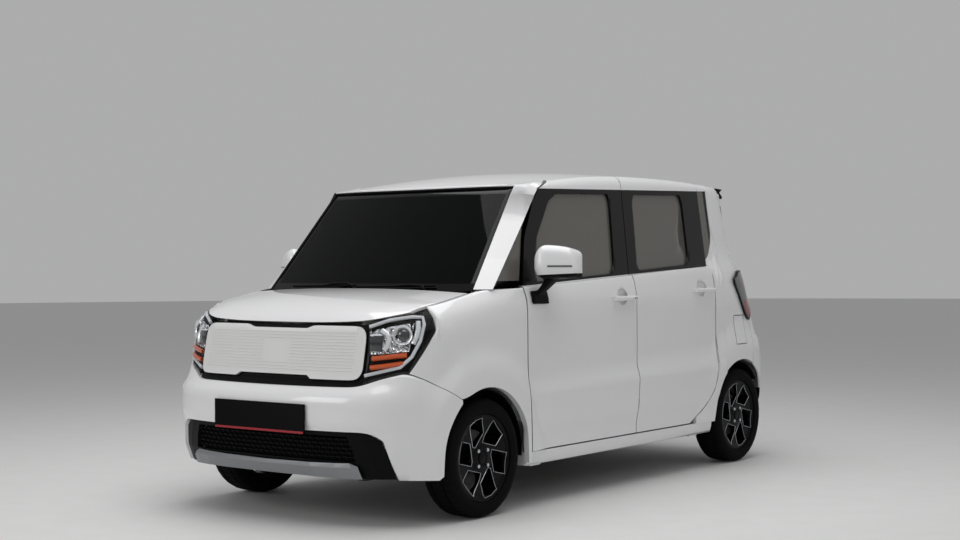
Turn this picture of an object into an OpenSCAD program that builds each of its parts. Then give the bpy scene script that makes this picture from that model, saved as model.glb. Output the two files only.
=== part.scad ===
// Boxy four-door city car, built panel by panel round a hollow cabin.
// Millimetres. The nose points to -Y, the car's left is +X, the tyres stand on Z = 0.

/* [Overall] */
// Length over the bumpers
body_l = 3595; // [3560:5:3640]
// Width over the wheel arches
body_w = 1595; // [1575:5:1615]
// Height of the roof crown
roof_h = 1700; // [1690:2:1720]
// Distance between the axles
wheelbase = 2520; // [2510:2:2530]
// Nose to front axle
front_overhang = 675; // [665:1:685]

/* [Wheels] */
// Tyre radius
tyre_r = 278; // [272:1:282]
// Tyre section width
tyre_w = 175; // [165:1:180]
// Rim flange radius
rim_r = 203; // [196:1:208]
// Distance between the wheel centre planes
track = 1408; // [1396:2:1416]
// Wheel arch opening radius
arch_r = 330; // [328:1:336]
// Lug circle diameter
lug_pcd = 100; // [98:0.1:108]
// Stub axle radius
stub_r = 26; // [22:0.5:28]

/* [Body lines] */
// Window sill height at the windscreen
belt_front_z = 1062; // [1050:1:1070]
// Climb of the window sill to the rear door
belt_rise = 98; // [85:1:105]
// Window top height amidships
window_top_z = 1577; // [1570:1:1582]
// Sill top height under the doors
sill_top_z = 270; // [262:1:275]
// Gap round every opening panel
shut_gap = 6; // [5:0.5:7]
// Inward lean of the side glass for each mm of height
tumble = 0.149; // [0.14:0.001:0.158]

/* [Doors] */
// Door thickness below the window sill
door_t = 65; // [58:1:70]
// Window frame thickness
frame_t = 36; // [30:1:40]
// Glass thickness
glass_t = 4.5; // [3.5:0.5:6]
// Hinge pin radius
pin_r = 7; // [6:0.5:8]
// Hinge axis behind the door's front edge
hinge_back = 45; // [40:1:50]
// Hinge axis inside the body's widest line
hinge_in = 30; // [28:1:33]

/* [Cabin] */
// Floor top height
floor_z = 250; // [240:1:262]
// Seat cushion top height
seat_z = 640; // [610:5:670]
// Steering wheel radius
steer_r = 180; // [170:1:190]

/* [Hidden] */
half_l = body_l / 2;
half_w = body_w / 2;
front_axle_y = -half_l + front_overhang;
rear_axle_y = front_axle_y + wheelbase;
fit = 0.3;
arch_cz = tyre_r + 5;
door_front_y = front_axle_y + 348;
belt_y0 = door_front_y - 225;
belt_run = 1930;
rear_cut_y = rear_axle_y - 296;
nose_c = front_axle_y - 157;
tail_c = rear_axle_y - 190;
nose_n = 3.3;
roof_half = 606;
gate_half = 644;
flange_x = half_w - 30;
liner_r = arch_r - 16;
liner_in = 458;
floor_half = 599;
post_x = half_w - 101;
hinge_x = half_w - hinge_in;
hinge_zs = [430, 880];
wheel_x = track / 2;
rim_w = tyre_w / 2 - 18;
king_x = wheel_x - 30;
eps = 0.01;
bay_y = front_axle_y - 470;

// Setback of the nose and the tail from the ends, and of the flank from the full width, by height
nose_in = [[215, 55], [300, 20], [430, 3], [545, 0], [592, 6], [640, 52], [664, 70], [700, 82],
           [800, 103], [905, 126], [935, 142], [965, 172], [1000, 230], [1050, 330]];
tail_in = [[215, 70], [330, 22], [450, 0], [640, 0], [715, 12], [750, 50], [850, 93], [1000, 133],
           [1141, 172], [1260, 215], [1400, 247], [1515, 272], [1650, 300]];
flank_in = [[205, 30], [245, 16], [290, 10], [340, 11], [430, 19], [500, 15], [560, 10], [700, 8.5],
            [1000, 9], [1150, 16]];

// Small helpers
function clamp01(t) = min(1, max(0, t));
function ease(t) = let (u = clamp01(t)) u * u * (3 - 2 * u);
function mix(a, b, t) = a + (b - a) * t;
function corner(d, n) = d <= 0 ? 1 : d >= 1 ? 0 : pow(1 - pow(d, n), 1 / n);
function sgn_pow(a, p) = sign(a) * pow(abs(a), p);

// Lines drawn along the body
function nose_y(z) = -half_l + lookup(z, nose_in);
function tail_y(z) = half_l - lookup(z, tail_in);
function tail_n(z) = mix(8.5, 4.5, ease((z - 700) / 350));
function belt_z(y) = belt_front_z + belt_rise * pow(clamp01((y - belt_y0) / belt_run), 1.2);
function window_z(y) = window_top_z + 0.027 * y;
function roof_edge_z(y) = roof_h - 36 - 52 * pow(abs(y - 650) / 1030, 2.3);
function roof_mid_z(y) = y < 400 ? roof_h - 123 * pow((400 - y) / 1090, 2.6) : roof_h - 28 * pow((y - 400) / 1000, 2);
function hood_side_z(y) = min(985 + 0.187 * (y - front_axle_y + 337), belt_z(y));
function fender_top_z(y) = y < belt_y0 + 20 ? hood_side_z(y) : belt_z(y);
function arch_z(y, axle) = arch_cz + sqrt(max(0, arch_r * arch_r - (y - axle) * (y - axle)));

// Outer surface of the flanks, as the half width at a station and height
function flare(y, z) =
    let (rf = norm([y - front_axle_y, z - arch_cz]), rr = norm([y - rear_axle_y, z - arch_cz]))
    1 - ease((min(rf, rr) - arch_r - 15) / 160);
function flank_x(y, z) = mix(half_w - lookup(z, flank_in), half_w, 0.95 * flare(y, z));
function shoulder(y, z) =
    mix(78, 24, ease((y - front_axle_y + 30) / 350))
    * pow(clamp01(1 - (fender_top_z(y) - z) / 105), 2);
function lower_x(y, z) =
    flank_x(y, z) * corner((nose_c - y) / (nose_c - nose_y(z)), nose_n)
    * corner((y - tail_c) / (tail_y(z) - tail_c), tail_n(z)) - shoulder(y, z);
function glass_x(y, z) = (half_w - 62.5 - tumble * (z - 1139)) * corner((y - tail_c) / (tail_y(z) - tail_c), tail_n(z));
function roof_side_x(y, z) =
    let (t = clamp01((z - window_z(y)) / (roof_edge_z(y) - window_z(y))), g = glass_x(y, window_z(y)))
    mix(g, roof_half + 6, 1 - sqrt(max(0, 1 - t * t)));
function body_x(y, z) =
    z <= belt_z(y) + 1 ? lower_x(y, z) : z <= window_z(y) ? glass_x(y, z) : roof_side_x(y, z);
function roof_z(x, y) = mix(roof_mid_z(y), roof_edge_z(y), pow(abs(x) / roof_half, 2.2));

// Nose and tail surfaces by plan angle, from 0 at the flank to 90 at the middle
function nose_pt(q, z, off = 0) =
    let (y = nose_c - (nose_c - nose_y(z)) * pow(sin(q), 2 / nose_n),
         x = flank_x(y, z) * sgn_pow(cos(q), 2 / nose_n))
    [x - sign(x) * shoulder(y, z) * abs(cos(q)) - off * sgn_pow(cos(q), 0.8), y + off * pow(sin(q), 0.8), z];
function tail_pt(q, z, off = 0) =
    let (y = tail_c + (tail_y(z) - tail_c) * pow(sin(q), 2 / tail_n(z)),
         x = (half_w - lookup(z, flank_in)) * sgn_pow(cos(q), 2 / tail_n(z)))
    [x - off * sgn_pow(cos(q), 0.8), y - off * pow(sin(q), 0.8), z];
function gate_y(x, z) =
    tail_c + (tail_y(z) - tail_c)
    * corner(abs(x) / (z < 1150 ? half_w - 10 : glass_x(0, z) + 10), tail_n(z));

// A panel with thickness, from its outer and inner grids of points, with a hole of whole cells
module skin(outer, inner, hole = [0, 0, 0, 0]) {
    nr = len(outer);
    nc = len(outer[0]);
    half = nr * nc;
    pts = concat([for (r = outer) each r], [for (r = inner) each r]);
    function there(i, j) =
        i >= 0 && j >= 0 && i < nr - 1 && j < nc - 1
        && !(i >= hole[0] && i < hole[1] && j >= hole[2] && j < hole[3]);
    function id(i, j) = i * nc + j;
    function wall(p, q) = [[q, p, p + half], [q, p + half, q + half]];
    cells = [for (i = [0:nr - 2], j = [0:nc - 2]) if (there(i, j)) [i, j]];
    faces = [for (c = cells)
        let (i = c[0], j = c[1], a = id(i, j), b = id(i, j + 1), e = id(i + 1, j + 1), d = id(i + 1, j))
        each concat(
            [[a, d, e], [a, e, b], [a + half, e + half, d + half], [a + half, b + half, e + half]],
            there(i, j - 1) ? [] : wall(a, d),
            there(i + 1, j) ? [] : wall(d, e),
            there(i, j + 1) ? [] : wall(e, b),
            there(i - 1, j) ? [] : wall(b, a))];
    polyhedron(pts, faces, convexity = 10);
}

// A solid through a row of like closed sections
module loft(rings) {
    n = len(rings[0]);
    m = len(rings);
    sides = [for (i = [0:m - 2], j = [0:n - 1])
        let (a = i * n + j, b = i * n + (j + 1) % n) each [[a, b, b + n], [a, b + n, a + n]]];
    polyhedron([for (r = rings) each r],
        concat(sides, [[for (j = [n - 1:-1:0]) j], [for (j = [0:n - 1]) (m - 1) * n + j]]), convexity = 10);
}

module both() {
    children();
    mirror([1, 0, 0]) children();
}
module rod(a, b, r) {
    d = b - a;
    translate(a) rotate([0, acos(d[2] / norm(d)), atan2(d[1], d[0])]) cylinder(r = r, h = norm(d), $fn = 40);
}
module block(lo, hi) {
    translate(lo) cube(hi - lo);
}
module side_prism(pts, x0, x1) {
    translate([x0, 0, 0]) rotate([90, 0, 90]) linear_extrude(x1 - x0) polygon(pts);
}

// Door edges by height
function split_y(z) = 232 + 0.077 * max(0, z - 1120) - 10 * clamp01((700 - z) / 400);
function front_door_front(z) =
    z < 1075 ? door_front_y
    : z < 1420 ? door_front_y + 15 + 0.284 * (z - 1080)
    : z < 1565 ? door_front_y + 112 + 1.04 * (z - 1420)
    : door_front_y + 263 + 2.9 * (z - 1565);
function rear_door_rear(z) = rear_cut_y + 10 * clamp01((z - 1150) / 450) - 310 * pow(clamp01((700 - z) / 430), 3);
function door_edges(which, z) =
    which == 0
    ? [front_door_front(z), front_door_front(z) + (z < 1420 ? 106 : 106 + 0.35 * (z - 1420)),
       96 + 0.113 * max(0, z - 1134), split_y(z) - shut_gap / 2]
    : [split_y(z) + shut_gap / 2, 328 + 0.1 * max(0, z - 1144),
       min(905 + 0.035 * max(0, z - 1175), rear_door_rear(z) - 110), rear_door_rear(z) - 1];
door_rows = 21;
sill_row = 12;
head_row = 16;
function door_z(k, y) =
    let (b = belt_z(y), w0 = b + 20, w1 = window_z(y) - 24, w = window_z(y), e = roof_edge_z(y) - 1)
    k < 9 ? [sill_top_z + shut_gap + 1, 330, 400, 470, 560, 700, 850, 970, 1010][k]
    : [b - 26, b, b + 6, w0, w0 + 40, mix(w0, w1, 0.5), w1 - 40, w1, w,
       mix(w, e, 0.4), mix(w, e, 0.78), e][k - 9];
function door_col(which, i, k, z) =
    let (e = door_edges(which, z), c = k == sill_row || k == head_row ? 22 : 0)
    i <= 2 ? mix(e[0], e[1] + c, i / 2)
    : i <= 7 ? mix(e[1] + c, e[2] - c, (i - 2) / 5)
    : mix(e[2] - c, e[3], (i - 7) / 2);
function door_yz(which, i, k) =
    let (y0 = door_col(which, i, k, door_z(k, which == 0 ? -300 : 650)),
         y1 = door_col(which, i, k, door_z(k, y0)),
         z = door_z(k, y1))
    [door_col(which, i, k, z), z];
function door_outer(which, i, k) =
    let (p = door_yz(which, i, k)) [k == 11 ? glass_x(p[0], p[1]) : body_x(p[0], p[1]), p[0], p[1]];
function door_inner(which, i, k) =
    let (p = door_outer(which, i, k),
         s = clamp01((k - 17) / 3),
         t = mix(frame_t, 0, s),
         dy = i == 0 ? 24 : i == 9 ? -24 : 0,
         dz = k == 0 ? 10 : -24 * s)
    [k <= 10 ? min(p[0] - 12, half_w - 10 - door_t) : p[0] - t, p[1] + (k <= 10 ? dy : dy / 2), p[2] + dz];

// The pockets and bores that take the door's two hinges
module hinge_pockets(axis_y) {
    for (z = hinge_zs) {
        block([half_w - 140, axis_y - 120, z - 30], [hinge_x + 13, axis_y + 15, z + 30]);
        translate([hinge_x, axis_y, z - 55]) cylinder(r = pin_r + fit, h = 110, $fn = 40);
    }
}
module hinge_arms(axis_y) {
    for (z = hinge_zs) {
        translate([hinge_x, axis_y, z - 50]) cylinder(r = pin_r, h = 100, $fn = 40);
        block([post_x, axis_y - 11, z - 16], [hinge_x, axis_y + 5, z + 16]);
    }
}
function hinge_y(which) = which == 0 ? door_front_y + hinge_back : split_y(700) + shut_gap / 2 + hinge_back;

module handle(y, z) {
    x = half_w - 9;
    translate([x + 18, y - 105, z]) rotate([-90, 0, 0]) cylinder(r = 11, h = 210, $fn = 32);
    for (d = [-88, 88]) block([x - 20, y + d - 15, z - 9], [x + 18, y + d + 15, z + 9]);
}
module door_shell(which, hinged) {
    difference() {
        union() {
            skin([for (k = [0:door_rows - 1]) [for (i = [0:9]) door_outer(which, i, k)]],
                 [for (k = [0:door_rows - 1]) [for (i = [0:9]) door_inner(which, i, k)]],
                 [sill_row, head_row, 2, 7]);
            if (which == 0) handle(95, 1000);
            if (which == 1) handle(955, 1030);
        }
        if (hinged) hinge_pockets(hinge_y(which));
    }
    if (!hinged) block([half_w - 72, split_y(0) + 120, sill_top_z + fit], [half_w - 36, split_y(0) + 200, sill_top_z + 40]);
}
module door_pane(which) {
    function pane(i, k, deep) =
        let (p = door_outer(which, i, k))
        [p[0] - deep, p[1] + (i == 2 ? fit : i == 7 ? -fit : 0),
         p[2] + (k == sill_row ? fit : k == head_row ? -fit : 0)];
    skin([for (k = [sill_row:head_row]) [for (i = [2:7]) pane(i, k, 14)]],
         [for (k = [sill_row:head_row]) [for (i = [2:7]) pane(i, k, 14 + glass_t)]]);
}

module door_front_left() {
    color("white") door_shell(0, true);
}
module door_front_right() {
    color("white") mirror([1, 0, 0]) door_shell(0, true);
}
module door_rear_left() {
    color("white") door_shell(1, true);
}
module door_rear_right() {
    color("white") mirror([1, 0, 0]) door_shell(1, false);
}
module glass_front_left() {
    color("slategray") door_pane(0);
}
module glass_front_right() {
    color("slategray") mirror([1, 0, 0]) door_pane(0);
}
module glass_rear_left() {
    color("slategray") door_pane(1);
}
module glass_rear_right() {
    color("slategray") mirror([1, 0, 0]) door_pane(1);
}

// Door mirror, a shell on a foot under the window sill
module mirror_head() {
    ys = [door_front_y + 30, door_front_y + 90, door_front_y + 165];
    zs = [985, 1025, 1055];
    skin([for (z = zs) [for (y = ys) [body_x(y, z) + 16, y, z]]],
         [for (z = zs) [for (y = ys) [body_x(y, z) + 4 * fit, y, z]]]);
    hull() {
        block([half_w - 14, door_front_y + 70, 1028], [half_w - 6, door_front_y + 120, 1048]);
        block([half_w + 40, door_front_y + 90, 1110], [half_w + 80, door_front_y + 150, 1125]);
    }
    hull() {
        for (c = [[46, 62, 1156, 46], [44, 66, 1192, 46], [152, 128, 1148, 34], [140, 128, 1190, 38]])
            translate([half_w + c[0], door_front_y + c[1], c[2]]) sphere(r = c[3], $fn = 16);
        block([half_w + 10, door_front_y + 184, 1112], [half_w + 176, door_front_y + 190, 1220]);
    }
}
module mirror_left() {
    color("white") mirror_head();
}
module mirror_right() {
    color("white") mirror([1, 0, 0]) mirror_head();
}

// Front fenders: arch below, bonnet line above, lamp and bumper ahead
function bumper_line_z(y) = 700 - 0.504 * (y - front_axle_y + 467);
function lamp_rear_z(y) = 717 + 1.545 * (y - front_axle_y + 441);
fender_ys = [for (d = [-452, -425, -390, -350, -325, -300, -260, -203, -150, -90, -20, 60, 130, 200, 255, 290,
                       312, 318, 340]) front_axle_y + d];
function fender_bot(y) =
    y < front_axle_y - 201 ? bumper_line_z(y) + 2
    : y < front_axle_y + 313 ? arch_z(y, front_axle_y)
    : 225;
function fender_top(y) = y < front_axle_y - 316 ? min(lamp_rear_z(y) - 3.6, hood_side_z(y)) : fender_top_z(y) - 1;
module fender() {
    function pt(y, v, inn) =
        let (z = mix(fender_bot(y), fender_top(y), v), x = lower_x(y, z))
        [inn ? (v == 0 && y < front_axle_y + 330 ? min(flange_x, x - 10) : x - (y > front_axle_y + 330 ? 4 : 10)) : x, y, z];
    vs = [0, 0.05, 0.2, 0.4, 0.6, 0.75, 0.86, 0.93, 1];
    skin([for (v = vs) [for (y = fender_ys) pt(y, v, false)]],
         [for (v = vs) [for (y = fender_ys) pt(y, v, true)]]);
}
module front_fenders() {
    color("white") both() fender();
}

// Rear quarters, each from the sill over the arch to the tailgate and the roof
quarter_ys = [for (d = [-525, -460, -400, -350, -315, -296, -288, -285.1, -284.6]) rear_axle_y + d];
quarter_fs = [0.1, 0.22, 0.34, 0.46, 0.57, 0.67, 0.671, 0.75, 0.85, 0.93, 1];
quarter_seam = rear_axle_y + 140;
function quarter_end_y(z) =
    let (low = z <= belt_z(rear_axle_y) + 1, a = low ? half_w - lookup(z, flank_in) : glass_x(0, z),
         s = low ? shoulder(rear_axle_y, z) : 0)
    tail_c + (tail_y(z) - tail_c) * corner(min(0.985, (gate_half + shut_gap + s) / a), tail_n(z));
function window_kick_z(y) =
    y < rear_axle_y - 186 ? belt_z(rear_cut_y) + 46 + 150 * pow(clamp01((y - rear_cut_y) / 112), 2.2)
    : roof_edge_z(y) - 1;
function quarter_top(y) =
    y < rear_cut_y + 11 ? 700 - 430 * pow(clamp01((rear_cut_y + 11 - y) / 310), 1 / 3) : window_kick_z(y);
function quarter_bot(y) =
    y < rear_axle_y - arch_r + 2 ? sill_top_z + fit
    : y < quarter_seam + 0.2 ? arch_z(y, rear_axle_y)
    : 752;
kick_ys = [for (d = [-262, -235, -210, -192, -187, -183]) rear_axle_y + d];
quarter_cols = concat(quarter_ys, kick_ys);
module quarter() {
    n0 = len(quarter_cols);
    y0 = quarter_cols[n0 - 1];
    function seam_y(z) = mix(quarter_seam, mix(y0, quarter_end_y(z), 0.67), ease((z - 752) / 250));
    function col_y(f, z) =
        f <= 0.67 ? mix(y0, seam_y(z), f / 0.67) : mix(seam_y(z), quarter_end_y(z), (f - 0.67) / 0.33);
    function pt(c, v, inn) =
        let (f = c < n0 ? 0 : quarter_fs[c - n0],
             yn = c < n0 ? quarter_cols[c] : mix(y0, quarter_seam, f / 0.67),
             z = mix(quarter_bot(yn), quarter_top(min(yn, rear_axle_y + 20)), v),
             y = c < n0 ? yn : col_y(f, z),
             x = body_x(y, z),
             t = mix(24, 14, clamp01((z - 1100) / 100)),
             w = clamp01((f - 0.67) / 0.33))
        !inn ? [x, y, z]
        : [v == 0 && c > 4 && w == 0 ? min(flange_x, x - t) : v == 1 ? max(x - t, roof_half + 1) : mix(x - t, x, w),
           y - t * w, z];
    vs = [0, 0.06, 0.1, 0.155, 0.21, 0.265, 0.32, 0.37, 0.43, 0.52, 0.6, 0.7, 0.8, 0.9, 0.97, 1];
    cols = [0:n0 + len(quarter_fs) - 1];
    skin([for (v = vs) [for (c = cols) pt(c, v, false)]], [for (v = vs) [for (c = cols) pt(c, v, true)]]);
}
flap_lo = [rear_axle_y - 62, 705];
flap_hi = [rear_axle_y + 58, 870];
flap_axis = [half_w - 19, flap_lo[0] + 22];
module quarter_left() {
    color("white") {
        difference() {
            union() {
                quarter();
                roof_corner();
                block([half_w - 64, flap_lo[0] - 22, flap_lo[1] - 9], [half_w - 22, flap_hi[0] + 9, flap_hi[1] + 9]);
            }
            block([half_w - 60, flap_lo[0] - 8, flap_lo[1] - 5], [half_w + 20, flap_hi[0] + 5, flap_hi[1] + 5]);
            block([half_w - 60, flap_lo[0] - 18, flap_lo[1] - 5], [half_w - 10.5, flap_lo[0] + 5, flap_hi[1] + 5]);
        }
        translate([flap_axis[0], flap_axis[1], flap_lo[1] - 8]) cylinder(r = 2.5, h = flap_hi[1] - flap_lo[1] + 16, $fn = 24);
    }
}
module quarter_right() {
    color("white") mirror([1, 0, 0]) {
        quarter();
        roof_corner();
    }
}
module fuel_flap() {
    ys = [for (f = [0, 0.5, 1]) mix(flap_lo[0], flap_hi[0], f)];
    zs = [for (f = [0, 0.33, 0.67, 1]) mix(flap_lo[1], flap_hi[1], f)];
    color("white") difference() {
        union() {
            skin([for (z = zs) [for (y = ys) [body_x(y, z), y, z]]],
                 [for (z = zs) [for (y = ys) [body_x(y, z) - 6, y, z]]]);
            for (z = [725, 815]) {
                translate([flap_axis[0], flap_axis[1], z]) cylinder(r = 5, h = 35, $fn = 24);
                block([flap_axis[0], flap_axis[1] - 4, z], [flap_axis[0] + 8, flap_axis[1] + 4, z + 35]);
            }
        }
        translate([flap_axis[0], flap_axis[1], flap_lo[1]]) cylinder(r = 2.5 + fit, h = 200, $fn = 24);
    }
}

// The small panel of roof side over each rear quarter glass
module roof_corner() {
    function pt(f, v, inn) =
        let (y = mix(rear_cut_y + 10 + shut_gap, kick_ys[5] + 3, f), w = window_z(y), e = roof_edge_z(y) - 1,
             z = mix(w, e, v))
        [inn ? max(body_x(y, z) - 14, roof_half + 1) : body_x(y, z), y, z];
    vs = [0, 0.4, 0.78, 1];
    skin([for (v = vs) [for (f = [0, 0.5, 1]) pt(f, v, false)]], [for (v = vs) [for (f = [0, 0.5, 1]) pt(f, v, true)]]);
}

// Fixed side panes: the small triangle by each windscreen pillar and the pane behind each rear door
function pillar_rear_y(z) = belt_y0 - 4 + 0.966 * (z - 1061);
module front_quarter_pane() {
    z0 = belt_front_z + 12;
    z1 = 1392;
    pts = [[pillar_rear_y(z0) - 3 + fit, z0], [door_front_y + 4, z0 + 8], [pillar_rear_y(z1) + 4, z1],
           [pillar_rear_y(z1) - 3 + fit, z1]];
    loft([[for (p = pts) [glass_x(0, p[1]) - 14, p[0], p[1]]],
          [for (p = pts) [glass_x(0, p[1]) - 14 - glass_t, p[0], p[1]]]]);
}
module rear_quarter_pane() {
    ys = concat([quarter_ys[8]], [for (i = [0:4]) kick_ys[i]]);
    z1 = window_kick_z(kick_ys[4]);
    z2 = roof_edge_z(kick_ys[5]) - 1;
    function pt(c, v, deep) =
        let (z = mix(window_kick_z(ys[c]) + fit, window_z(ys[c]) - fit, v),
             y = c == 0 ? rear_door_rear(z) + shut_gap
                 : c == 5 ? mix(kick_ys[4], kick_ys[5], (z - z1) / (z2 - z1)) - fit
                 : ys[c])
        [glass_x(y, z) - deep, y, z];
    vs = [0, 0.5, 1];
    skin([for (v = vs) [for (c = [0:5]) pt(c, v, 4)]], [for (v = vs) [for (c = [0:5]) pt(c, v, 4 + glass_t)]]);
}
module quarter_glass() {
    color("slategray") both() {
        front_quarter_pane();
        rear_quarter_pane();
    }
}

// Windscreen, ruled from the cowl to the roof
screen_base_z = belt_front_z - 6;
screen_top_z = 1568;
pillar_v = 0.014;
pillar_base_z = mix(screen_base_z, screen_top_z, pillar_v);
function screen_pt(f, v) =
    [f * mix(672, 600, v),
     mix(front_axle_y + 3 + 62 * f * f, front_axle_y + 443 + 52 * f * f, v),
     mix(screen_base_z, screen_top_z, v)];
module windscreen() {
    fs = [-1, -0.75, -0.4, 0, 0.4, 0.75, 1];
    vs = [0, 0.5, 1];
    color("slategray") skin([for (v = vs) [for (f = fs) screen_pt(f, v)]],
        [for (v = vs) [for (f = fs) screen_pt(f, v) + [0, glass_t + 1, 0]]]);
}

// Pillars and rails: windscreen pillar, rail over the doors, and the hinge post under the pillar
roof_vs = [0, 0.04, 0.1, 0.2, 0.35, 0.55, 0.8, 1];
gate_axis = [rear_axle_y - 2, roof_z(200, rear_axle_y) - 5];
function roof_y(f, v) = mix(front_axle_y + 433 + 62 * f * f, gate_axis[0] - 13, v);
rail_x = 0.94 * roof_half;
module side_rail() {
    function pillar(v, lead = -8) =
        let (p = screen_pt(1, v), z = p[2],
             ry = min(pillar_rear_y(z) - 3, z < 1420 ? half_l : front_door_front(z) - 2 * shut_gap))
        [[p[0] + 0.6, p[1] + 34, z], [glass_x(0, z) - 34, ry, z], [glass_x(0, z), ry, z], [p[0] + 0.6, p[1] + lead, z]];
    function rail(v) =
        let (y = roof_y(0.94, v), w = window_z(y))
        [[530, y, roof_z(530, y) - 78], [glass_x(y, w) - frame_t - 46, y, w - 42],
         [glass_x(y, w) - frame_t - 10, y, w - 22], [rail_x, y, roof_z(rail_x, y) - 34 - fit]];
    loft(concat([for (v = [pillar_v, 0.3, 0.65, 0.93]) pillar(v)], [pillar(0.935, 11)],
                [for (i = [1:len(roof_vs) - 1]) rail(roof_vs[i])]));
}
// The skin between the pillar's top, the roof's edge and the front door
module pillar_corner() {
    door_side = [for (z = [1528, 1550, 1565, 1584, 1605])
        let (y = front_door_front(z) - (z < 1560 ? 2 : z < 1570 ? 2.8 : 3.9) * shut_gap) [body_x(y, z), y, z]];
    low = screen_pt(1, 0.92);
    roof_side = concat([low + [0.8, -9, 0]],
        [for (y = [-634, -590, -500, -402]) [roof_half + 1.3, y, roof_edge_z(y) - 1]]);
    mid = [for (i = [0:4]) (door_side[i] + roof_side[i]) / 2 + [4, -2, 5]];
    skin([door_side, mid, roof_side],
         [[for (p = door_side) p + [-10, -3, 0]], [for (p = mid) p + [-8, 3, -8]], [for (i = [0:4]) roof_side[i] + (i == 0 ? [1.5, 6, -1] : [-0.5, 3, -12])]]);
}
module hinge_post() {
    block([post_x - 50, door_front_y - 6, sill_top_z + fit], [post_x, door_front_y + 80, 1008]);
    block([post_x - 56, front_axle_y + 84, 1005 + fit], [post_x - 8, door_front_y + 80, pillar_base_z - fit]);
}
module side_rails() {
    color("white") both() {
        side_rail();
        pillar_corner();
    }
}
module hinge_posts() {
    color("white") both() {
        hinge_post();
        hinge_arms(hinge_y(0));
    }
}
module centre_pillar() {
    y0 = hinge_y(1) - 45;
    function ring(z, x0, x1) = [[x0, y0 + 95, z], [x1, y0 + 95, z], [x1, y0, z], [x0, y0, z]];
    color("white") {
        loft([ring(sill_top_z + fit, post_x - 56, post_x), ring(1090, post_x - 56, post_x),
              ring(1140, post_x - 70, post_x - 8),
              ring(window_z(y0) - 42 - fit, post_x - 148, post_x - 82)]);
        hinge_arms(hinge_y(1));
    }
}

// Roof panel
module roof_panel() {
    fs = [-1, -0.94, -0.8, -0.5, 0, 0.5, 0.8, 0.94, 1];
    function pt(f, v, inn) =
        let (x = f * roof_half, y = roof_y(f, v))
        [x, y, roof_z(x, y) - (inn ? (v == 0 ? 6 : abs(f) > 0.9 ? 34 : 22) : 0)];
    color("white") {
        skin([for (v = roof_vs) [for (f = fs) pt(f, v, false)]], [for (v = roof_vs) [for (f = fs) pt(f, v, true)]]);
        both() {
            for (x = [168, 222]) block([x, gate_axis[0] - 22, gate_axis[1] - 9], [x + 10, gate_axis[0], gate_axis[1] + 4]);
            translate([172, gate_axis[0], gate_axis[1]]) rotate([0, 90, 0]) cylinder(r = 4, h = 56, $fn = 32);
        }
    }
}

// Bonnet
hood_mid = [[-548, 919], [-520, 950], [-440, 992], [-337, 1028], [-180, 1056], [-5, 1072], [80, 1080]];
function hood_half(y) = lower_x(max(y, front_axle_y - 337), fender_top_z(max(y, front_axle_y - 337))) - 10 - shut_gap;
function hood_edge_z(x) = lookup(abs(x), [[0, 914], [300, 916], [480, 924], [560, 938], [640, 960], [700, 984]]);
function lamp_top_z(x) = min(hood_edge_z(x) - shut_gap - 2, 972);
// The bonnet's front edge in plan follows the nose over the grille and the lamps
hood_lip = [for (q = [90, 80, 72, 65, 58.6, 52, 45, 38, 31, 26, 22, 18, 15])
    let (p = nose_pt(q, lamp_top_z(nose_pt(q, 930)[0]))) [p[0], p[1]]];
function hood_front_y(x) = lookup(abs(x), hood_lip);
function hood_rear_y(x) = front_axle_y - 5 - 50 * (1 - pow(x / 700, 2));
function hood_base_z(x, y) =
    let (m = lookup(y - front_axle_y, hood_mid),
         e = y < front_axle_y - 337 ? m - 43 * ease((y - front_axle_y + 550) / 213) : hood_side_z(y))
    mix(m, e, pow(abs(x) / 700, 2.5));
// The front edge rolls down to the grille and the lamps over this length
hood_roll = 170;
function hood_z(x, y) =
    let (f = hood_front_y(x), t = clamp01((y - f) / hood_roll))
    hood_base_z(x, y) - (hood_base_z(x, f) - hood_edge_z(x)) * pow(1 - t, 2);
hood_axis = [front_axle_y - 20, 1022];
module hood() {
    fs = [-1, -0.9, -0.78, -0.68, -0.45, -0.2, 0.2, 0.45, 0.68, 0.78, 0.9, 1];
    vs = [0, 0.05, 0.14, 0.28, 0.48, 0.75, 1];
    function pt(f, v, drop) =
        let (xn = f * hood_half(-half_l), y = mix(hood_front_y(xn) + 4, hood_rear_y(xn), v), x = f * hood_half(y))
        [x, y + (v == 0 && drop > 0 ? 9 : 0), hood_z(x, y) - (v == 0 ? min(drop, 3) : drop)];
    color("white") difference() {
        union() {
            skin([for (v = vs) [for (f = fs) pt(f, v, 0)]], [for (v = vs) [for (f = fs) pt(f, v, 14)]]);
            both() {
                translate([548, hood_axis[0], hood_axis[1]]) rotate([0, 90, 0]) cylinder(r = 12, h = 24, $fn = 32);
                block([548, hood_axis[0] - 18, hood_axis[1]], [572, hood_axis[0] + 2, 1046]);
            }
        }
        translate([-580, hood_axis[0], hood_axis[1]]) rotate([0, 90, 0]) cylinder(r = 6 + fit, h = 1160, $fn = 32);
    }
}

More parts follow.
